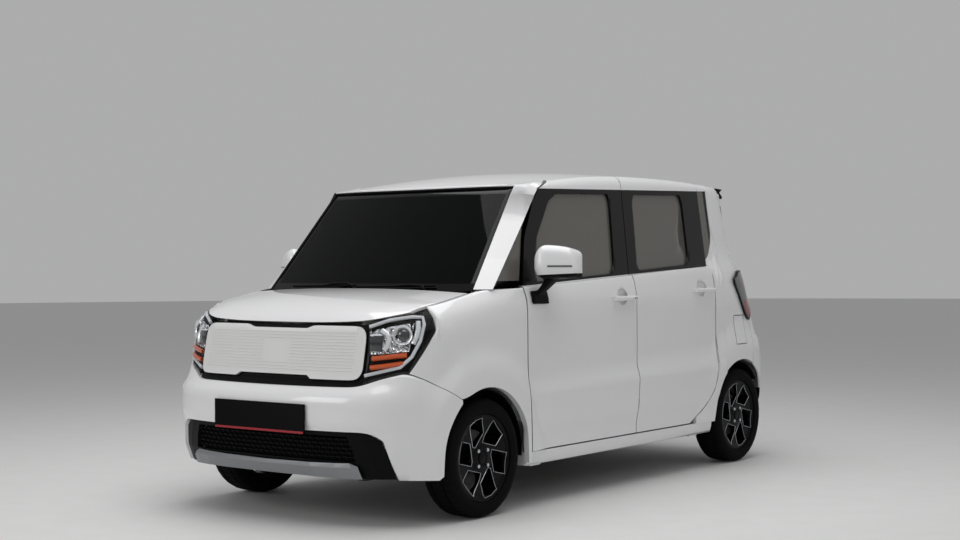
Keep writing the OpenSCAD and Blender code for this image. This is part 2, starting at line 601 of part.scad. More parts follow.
// Front bumper, its black intake, the bright lower plate, the grille and the lamps
bumper_qs = [1, 3.5, 6.2, 8, 9.5, 11, 14, 22, 30, 36, 40, 43, 46, 52, 60, 67, 76, 84, 90];
function mirrored(qs) = concat([for (q = qs) 180 - q], [for (i = [len(qs) - 2:-1:0]) qs[i]]);
function fold(q) = q > 90 ? 180 - q : q;
function nose_line_y(q, z) = nose_pt(fold(q), z)[1];
function bumper_top(q) =
    let (a = fold(q))
    a >= 34 ? lookup(a, [[34, 698], [46, 676], [57, 652], [60, 634], [90, 630]])
    : let (z1 = bumper_line_z(nose_line_y(a, 640)), z2 = bumper_line_z(nose_line_y(a, z1))) z2 - 2;
function bumper_bot(q) =
    let (a = fold(q),
         low = [for (z = [222:2:600]) if (norm([nose_line_y(a, z) - front_axle_y, z - arch_cz]) < arch_r) z])
    len(low) > 0 ? max(low) + 2
    : lookup(a, [[10, 235], [14, 215], [36, 222], [40, 300], [43, 398], [46, 418], [52, 438], [90, 438]]);
module front_bumper() {
    qs = mirrored(bumper_qs);
    function pt(q, v, off) = nose_pt(q, mix(bumper_bot(q), bumper_top(q), v), off);
    vs = [0, 0.3, 0.55, 0.75, 0.88, 1];
    color("white") skin([for (v = vs) [for (q = qs) pt(q, v, 0)]], [for (v = vs) [for (q = qs) pt(q, v, 26)]]);
}
function intake_end_q(z) = lookup(z, [[224, 36.8], [300, 40.6], [398, 43.6], [420, 46.6]]);
function intake_pt(f, z, off) = nose_pt(90 - f * (90 - intake_end_q(z)), z, off);
// Rows of the intake: its opening lies between the second and the fourth
intake_fs = [-1, -0.93, -0.8, -0.62, -0.55, -0.4, -0.2, 0, 0.2, 0.4, 0.55, 0.62, 0.8, 0.93, 1];
intake_slats = [318, 338, 358, 378, 398];
intake_sill_z = 302;
module lower_grille() {
    function top(f) = lookup(abs(f), [[0, 437.7], [0.8, 437.7], [0.93, 420], [1, 396]]);
    function z_at(f, v) = v == 0 ? 224 : mix(intake_sill_z, top(f), v - 1);
    rows = [0, 1, 1.4, 1.84, 2];
    slat_fs = [for (i = [3:11]) intake_fs[i]];
    color("black") {
        skin([for (v = rows) [for (f = intake_fs) intake_pt(f, z_at(f, v), 14)]],
             [for (v = rows) [for (f = intake_fs) intake_pt(f, z_at(f, v), 44)]], [1, 3, 3, 11]);
        skin([for (z = [296, 420]) [for (f = slat_fs) intake_pt(f, z, 46)]],
             [for (z = [296, 420]) [for (f = slat_fs) intake_pt(f, z, 50)]]);
        for (z = intake_slats)
            skin([for (d = [0, 6]) [for (f = slat_fs) intake_pt(f, z + d, 26)]],
                 [for (d = [0, 6]) [for (f = slat_fs) intake_pt(f, z + d, 47)]]);
    }
}
module skid_plate() {
    fs = [for (i = [3:11]) intake_fs[i]];
    function top(f) = lookup(abs(f), [[0, 286], [0.4, 293], [0.55, 296], [0.62, 282]]);
    function face(f, v) = intake_pt(f, mix(224, top(f), v), v == 1 ? 7 : -4);
    // The back lies on the intake's own lower band
    function seat(f, v) =
        mix(intake_pt(f, 224, 14 - 2 * fit), intake_pt(f, intake_sill_z, 14 - 2 * fit),
            mix(0, top(f) - 224, v) / (intake_sill_z - 224));
    rows = [0, 0.72, 1];
    color("silver") skin([for (v = rows) [for (f = fs) face(f, v)]], [for (v = rows) [for (f = fs) seat(f, v)]]);
}
grille_qs = mirrored([60, 60.5, 61.3, 62.6, 65, 72, 81.8, 83.2, 84.9, 86, 90]);
module grille_surround() {
    qs = concat([121], grille_qs, [59]);
    function rows(q) = [bumper_top(q) + fit, 664, 700, 800, 905, 909];
    color("black") skin([for (k = [0:5]) [for (q = qs) nose_pt(q, rows(q)[k], 12)]],
        [for (k = [0:5]) [for (q = qs) nose_pt(q, rows(q)[k], 42)]]);
}
module grille_panel() {
    function lo(q) =
        lookup(fold(q), [[60, 712], [60.5, 692], [61.3, 678], [62.6, 668], [65, 664], [81.8, 664], [83.2, 680], [90, 680]]);
    function hi(q) =
        lookup(fold(q), [[60, 858], [60.5, 878], [61.3, 891], [62.6, 901], [65, 905], [83.2, 905], [84.9, 891], [90, 891]]);
    function rows(q) = [lo(q), max(700, lo(q) + 3), 800, hi(q)];
    color("white") skin([for (k = [0:3]) [for (q = grille_qs) nose_pt(q, rows(q)[k], -2)]],
        [for (k = [0:3]) [for (q = grille_qs) nose_pt(q, rows(q)[k], 12 - 2 * fit)]]);
}
function lamp_end_q(z) = lookup(z, [[705, 32], [717, 30.8], [924, 13.4], [965, 14.9], [990, 18]]);
lamp_t = 34;
module headlamp() {
    fs = [0, 0.2, 0.4, 0.6, 0.8, 1];
    vs = [0, 0.2, 0.45, 0.7, 0.9, 1];
    function pt(f, v, off) =
        let (lo = bumper_top(mix(58.6, 32, f)) + 4, end = mix(58.6, lamp_end_q(940), f),
             hi = lamp_top_z(nose_pt(end, lamp_top_z(nose_pt(end, 940)[0]))[0]),
             z = mix(lo, hi, v),
             q = mix(58.6, lamp_end_q(z), f))
        f == 1 ? nose_pt(q, z) - [off, 0, 0] : nose_pt(q, z, off);
    // The housing's top falls away behind the lens, under the bonnet
    function inner(f, v) = v == 1 && f < 1 ? pt(f, v, lamp_t + 28) - [0, 0, lamp_t] : pt(f, v, lamp_t);
    skin([for (v = vs) [for (f = fs) pt(f, v, 0)]], [for (v = vs) [for (f = fs) inner(f, v)]]);
}
module headlamps() {
    color("gainsboro") both() headlamp();
}

// Rear bumper and lamps
module rear_bumper() {
    half_qs = [0, 9, 13, 19, 27, 36, 45, 56, 72, 90];
    qs = concat(half_qs, [for (i = [len(half_qs) - 2:-1:0]) 180 - half_qs[i]]);
    function seam_q(z) =
        asin(pow((quarter_seam + shut_gap + 2 - tail_c) / (tail_y(z) - tail_c), tail_n(z) / 2));
    function at(q, z) = q == 0 ? seam_q(z) : q == 180 ? 180 - seam_q(z) : q;
    function lo(q) =
        let (low = [for (z = [222:2:600]) if (norm([tail_pt(at(q, z), z)[1] - rear_axle_y, z - arch_cz]) < arch_r) z])
        len(low) == 0 ? 222 : max(low) + 2;
    vs = [0, 0.2, 0.45, 0.7, 0.88, 0.96, 1];
    function pt(q, v, off) = let (z = mix(lo(q), 752 - fit, v)) tail_pt(at(q, z), z, v == 0 ? min(off, 8) : off);
    color("white") skin([for (v = vs) [for (q = qs) pt(q, v, 0)]], [for (v = vs) [for (q = qs) pt(q, v, 26)]]);
}
module tail_lamp() {
    fs = [0, 0.1, 0.2, 0.3, 0.4, 0.5, 0.6, 0.7, 0.79, 0.87, 0.94, 1];
    function lo(f) = lookup(f, [[0, 1066], [0.2, 985], [0.42, 850], [0.5, 842], [0.6, 870], [0.8, 960], [1, 1010]]);
    function hi(f) = lookup(f, [[0, 1090], [0.35, 1141], [1, 1141]]);
    function pt(v, f, out) =
        let (z = mix(lo(f), hi(f), v), y = mix(rear_axle_y - 66, quarter_end_y(z) - 4, f), a = 60 * f * f)
        [body_x(y, z) + out * cos(a), y + out * sin(a), z];
    vs = [0, 0.25, 0.5, 0.75, 1];
    skin([for (v = vs) [for (f = fs) pt(v, f, 14)]], [for (v = vs) [for (f = fs) pt(v, f, 7 * fit)]]);
}
module tail_lamps() {
    color("firebrick") both() tail_lamp();
}

// Tailgate with its window, and the spoiler over it
gate_fs = [1, 0.93, 0.8, 0.45, 0, -0.45, -0.8, -0.93, -1];
gate_zs = [760, 800, 900, 1000, 1070, 1100, 1140, 1300, 1460, 1500, 1550, 1600];
function gate_pt(f, k, deep) =
    let (z = gate_zs[k], c = (k == 5 || k == 9) && abs(f) == 0.8 ? 0.95 : 1, x = f * gate_half * c)
    [x, gate_y(x, z) - deep, z];
module tailgate() {
    n = len(gate_zs) - 1;
    color("white") skin([for (k = [0:n]) [for (f = gate_fs) gate_pt(f, k, 0)]],
        [for (k = [0:n]) [for (f = gate_fs) gate_pt(f, k, 44)]], [5, 9, 2, 6]);
}
module gate_glass() {
    function pane(f, k, deep) =
        gate_pt(f, k, deep) + [f == 0.8 ? -fit : f == -0.8 ? fit : 0, 0, k == 5 ? fit : k == 9 ? -fit : 0];
    color("slategray") skin([for (k = [5:9]) [for (i = [2:6]) pane(gate_fs[i], k, 10)]],
        [for (k = [5:9]) [for (i = [2:6]) pane(gate_fs[i], k, 10 + glass_t)]]);
}
module spoiler() {
    y0 = gate_axis[0] + 10;
    function ring(f) =
        let (x = f * (gate_half - 6), t = roof_z(x, y0), g = gate_y(x, 1600), l = rear_axle_y + 200 - 125 * pow(abs(f), 3))
        [for (p = [[y0, t], [y0 + 65, t - 4], [l - 38, t - 26], [l, t - 48], [l - 6, t - 62], [g + 16, 1574],
                   [g + 9, 1600 + fit], [y0, 1600 + fit]]) [x, p[0], p[1]]];
    color("white") difference() {
        union() {
            loft([for (f = [-1, -0.9, -0.7, -0.4, 0, 0.4, 0.7, 0.9, 1]) ring(f)]);
            both() {
                translate([186, gate_axis[0], gate_axis[1]]) rotate([0, 90, 0]) cylinder(r = 8, h = 28, $fn = 32);
                block([186, gate_axis[0], gate_axis[1] - 8], [214, y0 + 20, gate_axis[1] + 2]);
            }
        }
        translate([-230, gate_axis[0], gate_axis[1]]) rotate([0, 90, 0]) cylinder(r = 4 + fit, h = 460, $fn = 32);
    }
}

// Floor, bulkhead and engine bay walls
module floor_pan() {
    t = 14;
    y0 = door_front_y + 9 + fit;
    kick = rear_axle_y - 420;
    color("gray") {
        side_prism([[y0, floor_z], [kick, floor_z], [kick + 90, 440], [rear_axle_y + 330, 440],
                    [rear_axle_y + 330, 440 - t], [kick + 98, 440 - t], [kick + 8, floor_z - t], [y0, floor_z - t]], -floor_half, floor_half);
        both() block([590, y0, floor_z - t], [690, kick - 10, floor_z]);
    }
}
module front_body() {
    color("gray") {
        block([-post_x + 50, door_front_y - 11, floor_z - 20], [post_x - 50.3, door_front_y + 9, 1005]);
        block([-635, front_axle_y + 40, 1000], [635, door_front_y + 9, 1020]);
        block([-liner_in, bay_y, 260], [liner_in, bay_y + 16, 870]);
        block([-180, -half_l + 29.8, 500], [180, bay_y + 1, 560]);
        block([-60, nose_y(760) + 43.5, 700], [60, bay_y + 1, 760]);
        both() {
            block([liner_in - 16, bay_y + 2, 330], [liner_in, door_front_y, 926]);
            block([liner_in - 16, front_axle_y - 312, 920], [640, door_front_y, 950]);
            block([580, hood_axis[0] - 9.5, 945], [602, hood_axis[0] + 9.5, hood_axis[1]]);
            translate([580, hood_axis[0], hood_axis[1]]) rotate([0, 90, 0]) cylinder(r = 9.5, h = 22, $fn = 32);
            translate([540, hood_axis[0], hood_axis[1]]) rotate([0, 90, 0]) cylinder(r = 6, h = 50, $fn = 32);
        }
    }
}
module cowl() {
    xs = [-640, -400, 0, 400, 640];
    rows = [0, 1];
    function pt(x, v, z) = [x, v == 0 ? hood_rear_y(x) + 46 : screen_pt(x / 672, 0)[1] + 30, z];
    color("black") skin([for (v = rows) [for (x = xs) pt(x, v, screen_base_z - fit)]],
        [for (v = rows) [for (x = xs) pt(x, v, 1020 + fit)]]);
}
module side_sills() {
    pts = [[690, 205], [half_w - 26, 205], [half_w - 14, 230], [half_w - 11, sill_top_z], [648, sill_top_z], [648, floor_z + fit],
           [690 + fit, floor_z + fit]];
    color("white") both() {
        translate([0, rear_axle_y - arch_r - 12, 0]) rotate([90, 0, 0])
            linear_extrude(rear_axle_y - arch_r - 12 - front_axle_y - 342 - fit) polygon(pts);
        for (y = [door_front_y + 120, rear_axle_y - 480]) block([700, y - 45, 192], [740, y + 45, 206]);
    }
}
module wheel_liner(axle, x0) {
    intersection() {
        translate([x0, axle, arch_cz]) rotate([0, 90, 0]) difference() {
            cylinder(r = liner_r + 5, h = flange_x - fit - x0, $fn = 96);
            translate([0, 0, -1]) cylinder(r = liner_r, h = flange_x - x0 + 2, $fn = 96);
        }
        block([x0 - 1, axle - 400, arch_cz - 25], [flange_x, axle + 400, 700]);
    }
}
strut_x = 566;
strut_r = 20;
module wheel_liners() {
    color("black") both() {
        difference() {
            wheel_liner(front_axle_y, liner_in + fit);
            translate([strut_x, front_axle_y, arch_cz]) cylinder(r = strut_r + fit, h = 400, $fn = 40);
        }
        difference() {
            wheel_liner(rear_axle_y, floor_half + fit);
            block([700, rear_axle_y + 250, 0], [half_w, rear_axle_y + 400, 700]);
            block([0, rear_axle_y + 200, 0], [half_w, rear_axle_y + 400, 335]);
        }
    }
}

// Running gear
module tyre(axle, side) {
    h = tyre_w / 2;
    pts = [[rim_r - 9 + fit, -rim_w + 8.2], [rim_r + fit, -rim_w + 3.2], [rim_r + fit, -h + 10], [rim_r + 12, -h + 3], [rim_r + 34, -h], [tyre_r - 22, -h + 4], [tyre_r - 8, -h + 12],
           [tyre_r - 2, -h + 24], [tyre_r, -h + 44]];
    prof = concat(pts, [for (i = [len(pts) - 1:-1:0]) [pts[i][0], -pts[i][1]]]);
    translate([side * wheel_x, axle, tyre_r]) rotate([0, 90, 0]) rotate_extrude($fn = 72) polygon(prof);
}
// Half of the wheel's pockets seen from outside, as forward and upward distances from the hub; the others face them
rim_pockets = [[[-7, 188], [-57, 180], [-101, 157], [-68, 56], [-50, 50], [13, 118]],
               [[80, 170], [154, 95], [107, 46], [6, 71], [20, 102]],
               [[80, 32], [184, 8], [165, -92], [91, -74], [71, 10]]];
module wheel_windows(side) {
    for (a = [0, 180])
        for (p = rim_pockets)
            rotate(a) translate([0, 0, -100]) linear_extrude(200) polygon([for (c = p) [-side * c[1], c[0]]]);
}
module rim(axle, side) {
    w = rim_w;
    b = rim_r - 9;
    translate([side * wheel_x, axle, tyre_r]) rotate([0, side * 90, 0]) difference() {
        rotate_extrude($fn = 72) polygon([
            [stub_r + fit, 10], [stub_r + fit, 62], [34, 66], [70, 60], [110, 62], [rim_r - 26, 66], [rim_r - 14, w + 3], [rim_r, w + 3],
            [rim_r, w - 3], [b, w - 8], [b - 8, 20], [b - 8, -w + 20], [b, -w + 8], [rim_r, -w + 3], [rim_r, -w - 3],
            [rim_r - 14, -w - 3], [b - 14, -w + 20], [b - 14, 30], [rim_r - 30, 48], [110, 42], [80, 30], [72, 10]]);
        wheel_windows(side);
        for (i = [0:3]) rotate(i * 90 + 45) translate([lug_pcd / 2, 0, 5]) cylinder(r = 7, h = 90, $fn = 24);
    }
}
module knuckle(side) {
    color("dimgray") {
        rod([side * (wheel_x - 60), front_axle_y, tyre_r], [side * (wheel_x + 60), front_axle_y, tyre_r], stub_r);
        rod([side * (wheel_x - 68), front_axle_y, tyre_r], [side * (wheel_x + 10 - fit), front_axle_y, tyre_r], 60);
        rod([side * king_x, front_axle_y, tyre_r - 120], [side * king_x, front_axle_y, tyre_r + 120], 12);
        block([side * king_x - 22, front_axle_y - 24, tyre_r - 95], [side * king_x + 22, front_axle_y + 24, tyre_r + 95]);
    }
}
module knuckle_left() {
    knuckle(1);
}
module knuckle_right() {
    knuckle(-1);
}
module rim_front_left() {
    color("dimgray") rim(front_axle_y, 1);
}
module rim_front_right() {
    color("dimgray") rim(front_axle_y, -1);
}
module rim_rear_left() {
    color("dimgray") rim(rear_axle_y, 1);
}
module rim_rear_right() {
    color("dimgray") rim(rear_axle_y, -1);
}
module tyre_front_left() {
    color("black") tyre(front_axle_y, 1);
}
module tyre_front_right() {
    color("black") tyre(front_axle_y, -1);
}
module tyre_rear_left() {
    color("black") tyre(rear_axle_y, 1);
}
module tyre_rear_right() {
    color("black") tyre(rear_axle_y, -1);
}

module front_subframe() {
    arm_z = tyre_r - 121;
    color("dimgray") {
        block([-400, front_axle_y - 60, 195], [400, front_axle_y + 130, 229]);
        both() {
            block([400 - eps, bay_y + 16 + fit, 195], [liner_in - 16, front_axle_y + 300, 345]);
            difference() {
                union() {
                    block([liner_in - 17, front_axle_y - 22, arm_z], [king_x + 20, front_axle_y + 22, arm_z + 20]);
                    block([liner_in - 17, front_axle_y - 22, arm_z], [liner_in - 16 + 40, front_axle_y + 22, 260]);
                    block([strut_x, front_axle_y - 22, tyre_r + 100], [king_x + 20, front_axle_y + 22, tyre_r + 121]);
                    translate([strut_x, front_axle_y, tyre_r + 30]) cylinder(r = strut_r, h = 920 - fit - tyre_r - 30, $fn = 40);
                }
                translate([king_x, front_axle_y, arm_z - 20]) cylinder(r = 12 + fit, h = 300, $fn = 40);
            }
        }
    }
}
module rear_axle() {
    y0 = rear_axle_y - 190;
    color("dimgray") {
        rod([-570, y0, 300], [570, y0, 300], 36);
        both() {
            rod([560, rear_axle_y, tyre_r], [wheel_x + 60, rear_axle_y, tyre_r], stub_r);
            rod([570, rear_axle_y, tyre_r], [wheel_x + 10 - fit, rear_axle_y, tyre_r], 55);
            block([540, rear_axle_y - 320, 265], [588, rear_axle_y + 40, 325]);
            block([545, rear_axle_y - 320, 300], [583, rear_axle_y - 280, 426 - fit]);
            translate([480, rear_axle_y - 60, 290]) cylinder(r = 48, h = 136 - fit, $fn = 40);
            block([470, y0 - 10, 280], [560, rear_axle_y - 40, 310]);
        }
    }
}
module engine() {
    color("gray") block([-320, front_axle_y - 420, 229 + fit], [350, front_axle_y + 110, 800]);
}
module fuel_tank() {
    color("black") block([-420, rear_axle_y - 830, 160], [420, rear_axle_y - 440, floor_z - 14 - fit]);
}
module exhaust() {
    r = 24;
    z = floor_z - 15 - fit - r;
    pts = [[-500, front_axle_y + 380, z], [-500, rear_axle_y - 400, z], [-330, rear_axle_y - 220, 216], [-330, rear_axle_y - 60, 216],
           [-330, rear_axle_y + 90, 320]];
    color("silver") {
        for (i = [0:3]) {
            rod(pts[i], pts[i + 1], r);
            translate(pts[i + 1]) sphere(r = r + 1, $fn = 40);
        }
        block([-520, rear_axle_y + 85, 290], [-120, rear_axle_y + 265, 426 - fit]);
    }
}

// Cabin
steer_c = [350, door_front_y + 320, 985];
steer_tilt = 25;
module at_column() {
    translate(steer_c) rotate([steer_tilt - 90, 0, 0]) children();
}
module dashboard() {
    y0 = door_front_y + 9 + fit;
    color("black") {
        side_prism([[y0, 660], [y0 + 130, 640], [y0 + 205, 760], [y0 + 225, 900], [y0 + 210, 995], [y0 + 120, 1050],
                    [y0 - 190, 1042], [y0 - 255, 1028], [y0 - 255, 1020 + fit], [y0, 1020 + fit]], -590, 590);
        at_column() {
            translate([0, 0, -170]) cylinder(r = 30, h = 150, $fn = 40);
            translate([0, 0, -40]) cylinder(r = 14, h = 40, $fn = 40);
        }
    }
}
module steering_wheel() {
    color("black") at_column() difference() {
        union() {
            rotate_extrude($fn = 72) translate([steer_r, 0]) circle(r = 14, $fn = 32);
            translate([0, 0, -14]) cylinder(r = 52, h = 30, $fn = 40);
            for (a = [0, 180, 270]) rotate(a) block([40, -18, -6], [steer_r - 6, 18, 6]);
        }
        translate([0, 0, -41]) cylinder(r = 14 + fit, h = 42, $fn = 40);
    }
}
module front_seat() {
    y0 = door_front_y + 490;
    side_prism([[y0, 330], [y0, 560], [y0 + 40, seat_z], [y0 + 430, seat_z - 30], [y0 + 480, seat_z], [y0 + 565, 1130],
                [y0 + 600, 1180], [y0 + 670, 1175], [y0 + 700, 1130], [y0 + 575, 540], [y0 + 530, 330]], 105, 575);
    side_prism([[y0 + 610, 1215], [y0 + 600, 1330], [y0 + 625, 1360], [y0 + 690, 1350], [y0 + 700, 1215]], 220, 460);
    for (x = [280, 400]) translate([x, y0 + 650, 1160]) cylinder(r = 7, h = 70, $fn = 24);
    for (x = [150, 490]) block([x, y0 + 40, floor_z + fit], [x + 40, y0 + 500, 331]);
}
module front_seats() {
    color("dimgray") both() front_seat();
}
module rear_seat() {
    y0 = rear_axle_y - 757;
    color("dimgray") {
        side_prism([[y0, 330], [y0, 540], [y0 + 30, seat_z - 30], [y0 + 400, seat_z - 55], [y0 + 440, seat_z - 20], [y0 + 505, 1070],
                    [y0 + 540, 1110], [y0 + 590, 1105], [y0 + 600, 1070], [y0 + 530, 560], [y0 + 520, 445], [y0 + 425, 445],
                    [y0 + 335, 330]], -560, 560);
        for (x = [-330, 330]) {
            side_prism([[y0 + 545, 1140], [y0 + 540, 1230], [y0 + 560, 1255], [y0 + 610, 1245], [y0 + 615, 1140]], x - 120, x + 120);
            for (d = [-60, 60]) translate([x + d, y0 + 578, 1090]) cylinder(r = 7, h = 60, $fn = 24);
        }
        block([-500, y0 + 40, floor_z + fit], [500, y0 + 80, 331]);
    }
}

floor_pan();
front_body();
side_sills();
hinge_posts();
side_rails();
centre_pillar();
roof_panel();
quarter_left();
quarter_right();
front_fenders();
front_bumper();
lower_grille();
skid_plate();
grille_surround();
grille_panel();
headlamps();
cowl();
windscreen();
quarter_glass();
rear_bumper();
tail_lamps();
wheel_liners();
engine();
front_subframe();
rear_axle();
fuel_tank();
exhaust();
dashboard();
front_seats();
rear_seat();
door_rear_right();
glass_rear_right();
door_front_left();
glass_front_left();
mirror_left();
door_front_right();
glass_front_right();
mirror_right();
door_rear_left();
glass_rear_left();
hood();
tailgate();
gate_glass();
spoiler();
fuel_flap();
knuckle_left();
knuckle_right();
rim_front_left();
tyre_front_left();
rim_front_right();
tyre_front_right();
rim_rear_left();
tyre_rear_left();
rim_rear_right();
tyre_rear_right();
steering_wheel();
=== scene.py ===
from math import atan2, copysign, cos, degrees, exp, hypot, pi, radians, sin, sqrt, tau

import bmesh
import bpy
from mathutils import Matrix, Vector


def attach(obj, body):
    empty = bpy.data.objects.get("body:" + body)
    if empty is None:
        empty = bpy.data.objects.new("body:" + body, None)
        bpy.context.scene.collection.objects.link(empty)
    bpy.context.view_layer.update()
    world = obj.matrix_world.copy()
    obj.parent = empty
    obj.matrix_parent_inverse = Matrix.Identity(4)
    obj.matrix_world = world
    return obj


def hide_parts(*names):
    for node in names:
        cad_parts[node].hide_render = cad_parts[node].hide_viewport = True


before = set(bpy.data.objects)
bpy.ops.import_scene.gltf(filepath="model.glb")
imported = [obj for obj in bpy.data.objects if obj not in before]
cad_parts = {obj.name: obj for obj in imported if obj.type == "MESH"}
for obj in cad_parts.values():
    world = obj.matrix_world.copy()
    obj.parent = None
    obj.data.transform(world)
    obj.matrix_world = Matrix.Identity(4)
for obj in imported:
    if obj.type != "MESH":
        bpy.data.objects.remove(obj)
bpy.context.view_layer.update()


# Camera
# A long portrait lens stands at the height of a person's chest, off the car's front left corner.
# Its place, turn and focal length repeat the view in which the car was pictured.
def linked(name, data):
    """A new object in the scene."""
    made = bpy.data.objects.new(name, data)
    bpy.context.scene.collection.objects.link(made)
    return made


lens_place = Vector((5.0661, -6.7864, 1.1769))
turn, tilt, lean = 0.649983, 0.0029506, -0.0047270
back = Vector((sin(turn) * cos(tilt), -cos(turn) * cos(tilt), sin(tilt)))
level = (-back).cross(Vector((0, 0, 1))).normalized()
upright = level.cross(-back)
right = cos(lean) * level + sin(lean) * upright
up = -sin(lean) * level + cos(lean) * upright
scene = bpy.context.scene
lens = bpy.data.cameras.new("portrait_lens")
focal, sensor = 57.097, 36.0
picture_wide, picture_high = 960, 540
lens.lens, lens.sensor_width, lens.clip_end = focal, sensor, 200.0
camera = linked("camera", lens)
camera.matrix_world = Matrix((right, up, back)).transposed().to_4x4()
camera.location = lens_place
scene.camera = camera
scene.view_settings.view_transform = "Standard"


# Studio
# A photo studio with a pale painted floor and pale walls far away. A long softbox hangs over the car, one stands
# off its nose and a weaker one along its left side, so that panels show broad soft highlights.
def linear(code):
    """An sRGB hex colour as linear red, green, blue and alpha."""
    parts = [int(code[i:i + 2], 16) / 255 for i in (1, 3, 5)]
    return [c / 12.92 if c <= 0.04045 else ((c + 0.055) / 1.055) ** 2.4 for c in parts] + [1.0]


def add(tree, kind, sockets=None, links=None, **settings):
    """One node with its settings, socket values and incoming links."""
    node = tree.nodes.new(f"ShaderNode{kind}")
    for key, value in settings.items():
        setattr(node, key, value)
    for key, value in (sockets or {}).items():
        node.inputs[key].default_value = value
    for key, source in (links or {}).items():
        tree.links.new(source, node.inputs[key])
    return node


def finish(name, code, roughness, **sockets):
    """A new material: its tree, its shader, and Object coordinates in metres."""
    made = bpy.data.materials.new(name)
    made.use_nodes = True
    tree = made.node_tree
    shader = tree.nodes["Principled BSDF"]
    shader.inputs["Base Color"].default_value = linear(code)
    shader.inputs["Roughness"].default_value = roughness
    for key, value in sockets.items():
        shader.inputs[key.replace("_", " ")].default_value = value
    return made, tree, shader, add(tree, "TexCoord").outputs["Object"]


def ripple(tree, shader, height, strength, distance):
    """Bump from a height, in metres of depth."""
    bump = add(tree, "Bump", {"Strength": strength, "Distance": distance}, {"Height": height})
    tree.links.new(bump.outputs["Normal"], shader.inputs["Normal"])


def noise(tree, place, scale, detail, **sockets):
    """Soft cloudy noise from 0 to 1."""
    return add(tree, "TexNoise", {"Scale": scale, "Detail": detail, **sockets}, {"Vector": place}).outputs["Fac"]


def toned(tree, shader, factor, low, high):
    """Base colour that runs between two hex colours."""
    tones = add(tree, "Mix", {"A": linear(low), "B": linear(high)}, {"Factor": factor}, data_type="RGBA")
    tree.links.new(tones.outputs["Result"], shader.inputs["Base Color"])


def mottled(name, code, roughness, low, high, scale, detail, **sockets):
    """A finish whose colour drifts between two tones."""
    made, tree, shader, place = finish(name, code, roughness, **sockets)
    toned(tree, shader, noise(tree, place, scale, detail), low, high)
    return made


world = bpy.data.worlds.new("studio_air")
scene.world = world
world.use_nodes = True
air = world.node_tree
path = add(air, "LightPath")
seen = add(air, "Math", None, {0: path.outputs["Is Camera Ray"], 1: path.outputs["Is Transmission Ray"]},
           operation="ADD")
seen = add(air, "Math", None, {0: seen.outputs[0], 1: path.outputs["Is Glossy Ray"]}, operation="ADD",
           use_clamp=True)
room_light, room_seen = 0.44, 0.58
strength = add(air, "Mix", {"A": room_light, "B": room_seen}, {"Factor": seen.outputs[0]}, data_type="FLOAT")
backdrop = air.nodes["Background"]
backdrop.inputs["Color"].default_value = linear("#dcdcdd")
air.links.new(strength.outputs["Result"], backdrop.inputs["Strength"])

bpy.ops.mesh.primitive_circle_add(vertices=96, radius=45, fill_type="NGON", location=(0, 0, -0.001))
floor = bpy.context.object
floor.name = "studio_floor"
# painted concrete, rolled matt: a faint mottle a hand wide
floor.data.materials.append(mottled("rolled_floor_paint", "#e2e2e1", 0.6, "#dededd", "#e6e6e5", scale=6.0, detail=3.0))

for name, spot, aim, wide, deep, power in (
        ("roof_softbox", (0.5, -0.6, 5.2), (0, 0, 0), 4.4, 6.5, 185),
        ("front_softbox", (-2.6, -7.5, 3.4), (0, -1.5, 0.7), 4.0, 3.0, 95),
        ("side_softbox", (7.5, 1.5, 3.2), (0.6, 0.5, 0.7), 6.0, 3.0, 18)):
    lamp = bpy.data.lights.new(name, "AREA")
    lamp.shape, lamp.size, lamp.size_y, lamp.energy = "RECTANGLE", wide, deep, power
    holder = linked(name, lamp)
    holder.location = spot
    holder.rotation_euler = (Vector(aim) - Vector(spot)).to_track_quat("-Z", "Y").to_euler()


# Running gear and underside
# Pressed and welded steel, dip-painted black, with a cast iron engine, a blow-moulded tank and a steel exhaust.
# These stay as the source makes them and take their finish here; felted plastic liners line the wheel arches.
def dress(material, *nodes):
    """Gives CAD nodes that stay as they are their finish."""
    for node in nodes:
        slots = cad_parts[node].data.materials
        slots.clear()
        slots.append(material)


def grained(name, code, roughness, scale, strength, depth, detail=None, **sockets):
    """A finish with fine relief: noise where a detail is given, else cells."""
    made, tree, shader, place = finish(name, code, roughness, **sockets)
    if detail is None:
        height = add(tree, "TexVoronoi", {"Scale": scale}, {"Vector": place}).outputs["Distance"]
    else:
        height = noise(tree, place, scale, detail)
    ripple(tree, shader, height, strength, depth)
    return made


# dip-painted steel: satin black with road dust in blotches a hand wide and fine grit
dipped_steel, tree, shader, place = finish("dip_painted_steel", "#1d1e20", 0.55)
dust, grit = noise(tree, place, 11.0, 6.0, Roughness=0.65), noise(tree, place, 900.0, 2.0)
toned(tree, shader, dust, "#17181a", "#37342f")
ripple(tree, shader, grit, 0.25, 0.0006)

# sand-cast iron: grey, rough to the touch at 2 mm
cast_iron = grained("sand_cast_iron", "#3c3b39", 0.62, scale=500.0, strength=0.5, depth=0.001, detail=3.0,
                    Metallic=0.7)

# aluminised exhaust steel: dull metal, browned in bands by heat
exhaust_steel = mottled("aluminised_steel", "#77726a", 0.42, "#8d8a84", "#5b4a3a", scale=5.0, detail=4.0, Metallic=1.0)

# moulded polypropylene: dull black with the spark-eroded grain of the tool, 1.2 mm apart
moulded_black = grained("grained_polypropylene", "#060607", 0.5, scale=830.0, strength=0.35, depth=0.0003,
                        Specular_IOR_Level=0.1)

dress(dipped_steel, "floor_pan", "front_subframe", "rear_axle", "knuckle_left", "knuckle_right")
dress(cast_iron, "engine")
dress(exhaust_steel, "exhaust")
dress(moulded_black, "fuel_tank", "wheel_liners", "cowl", "grille_surround", "lower_grille")


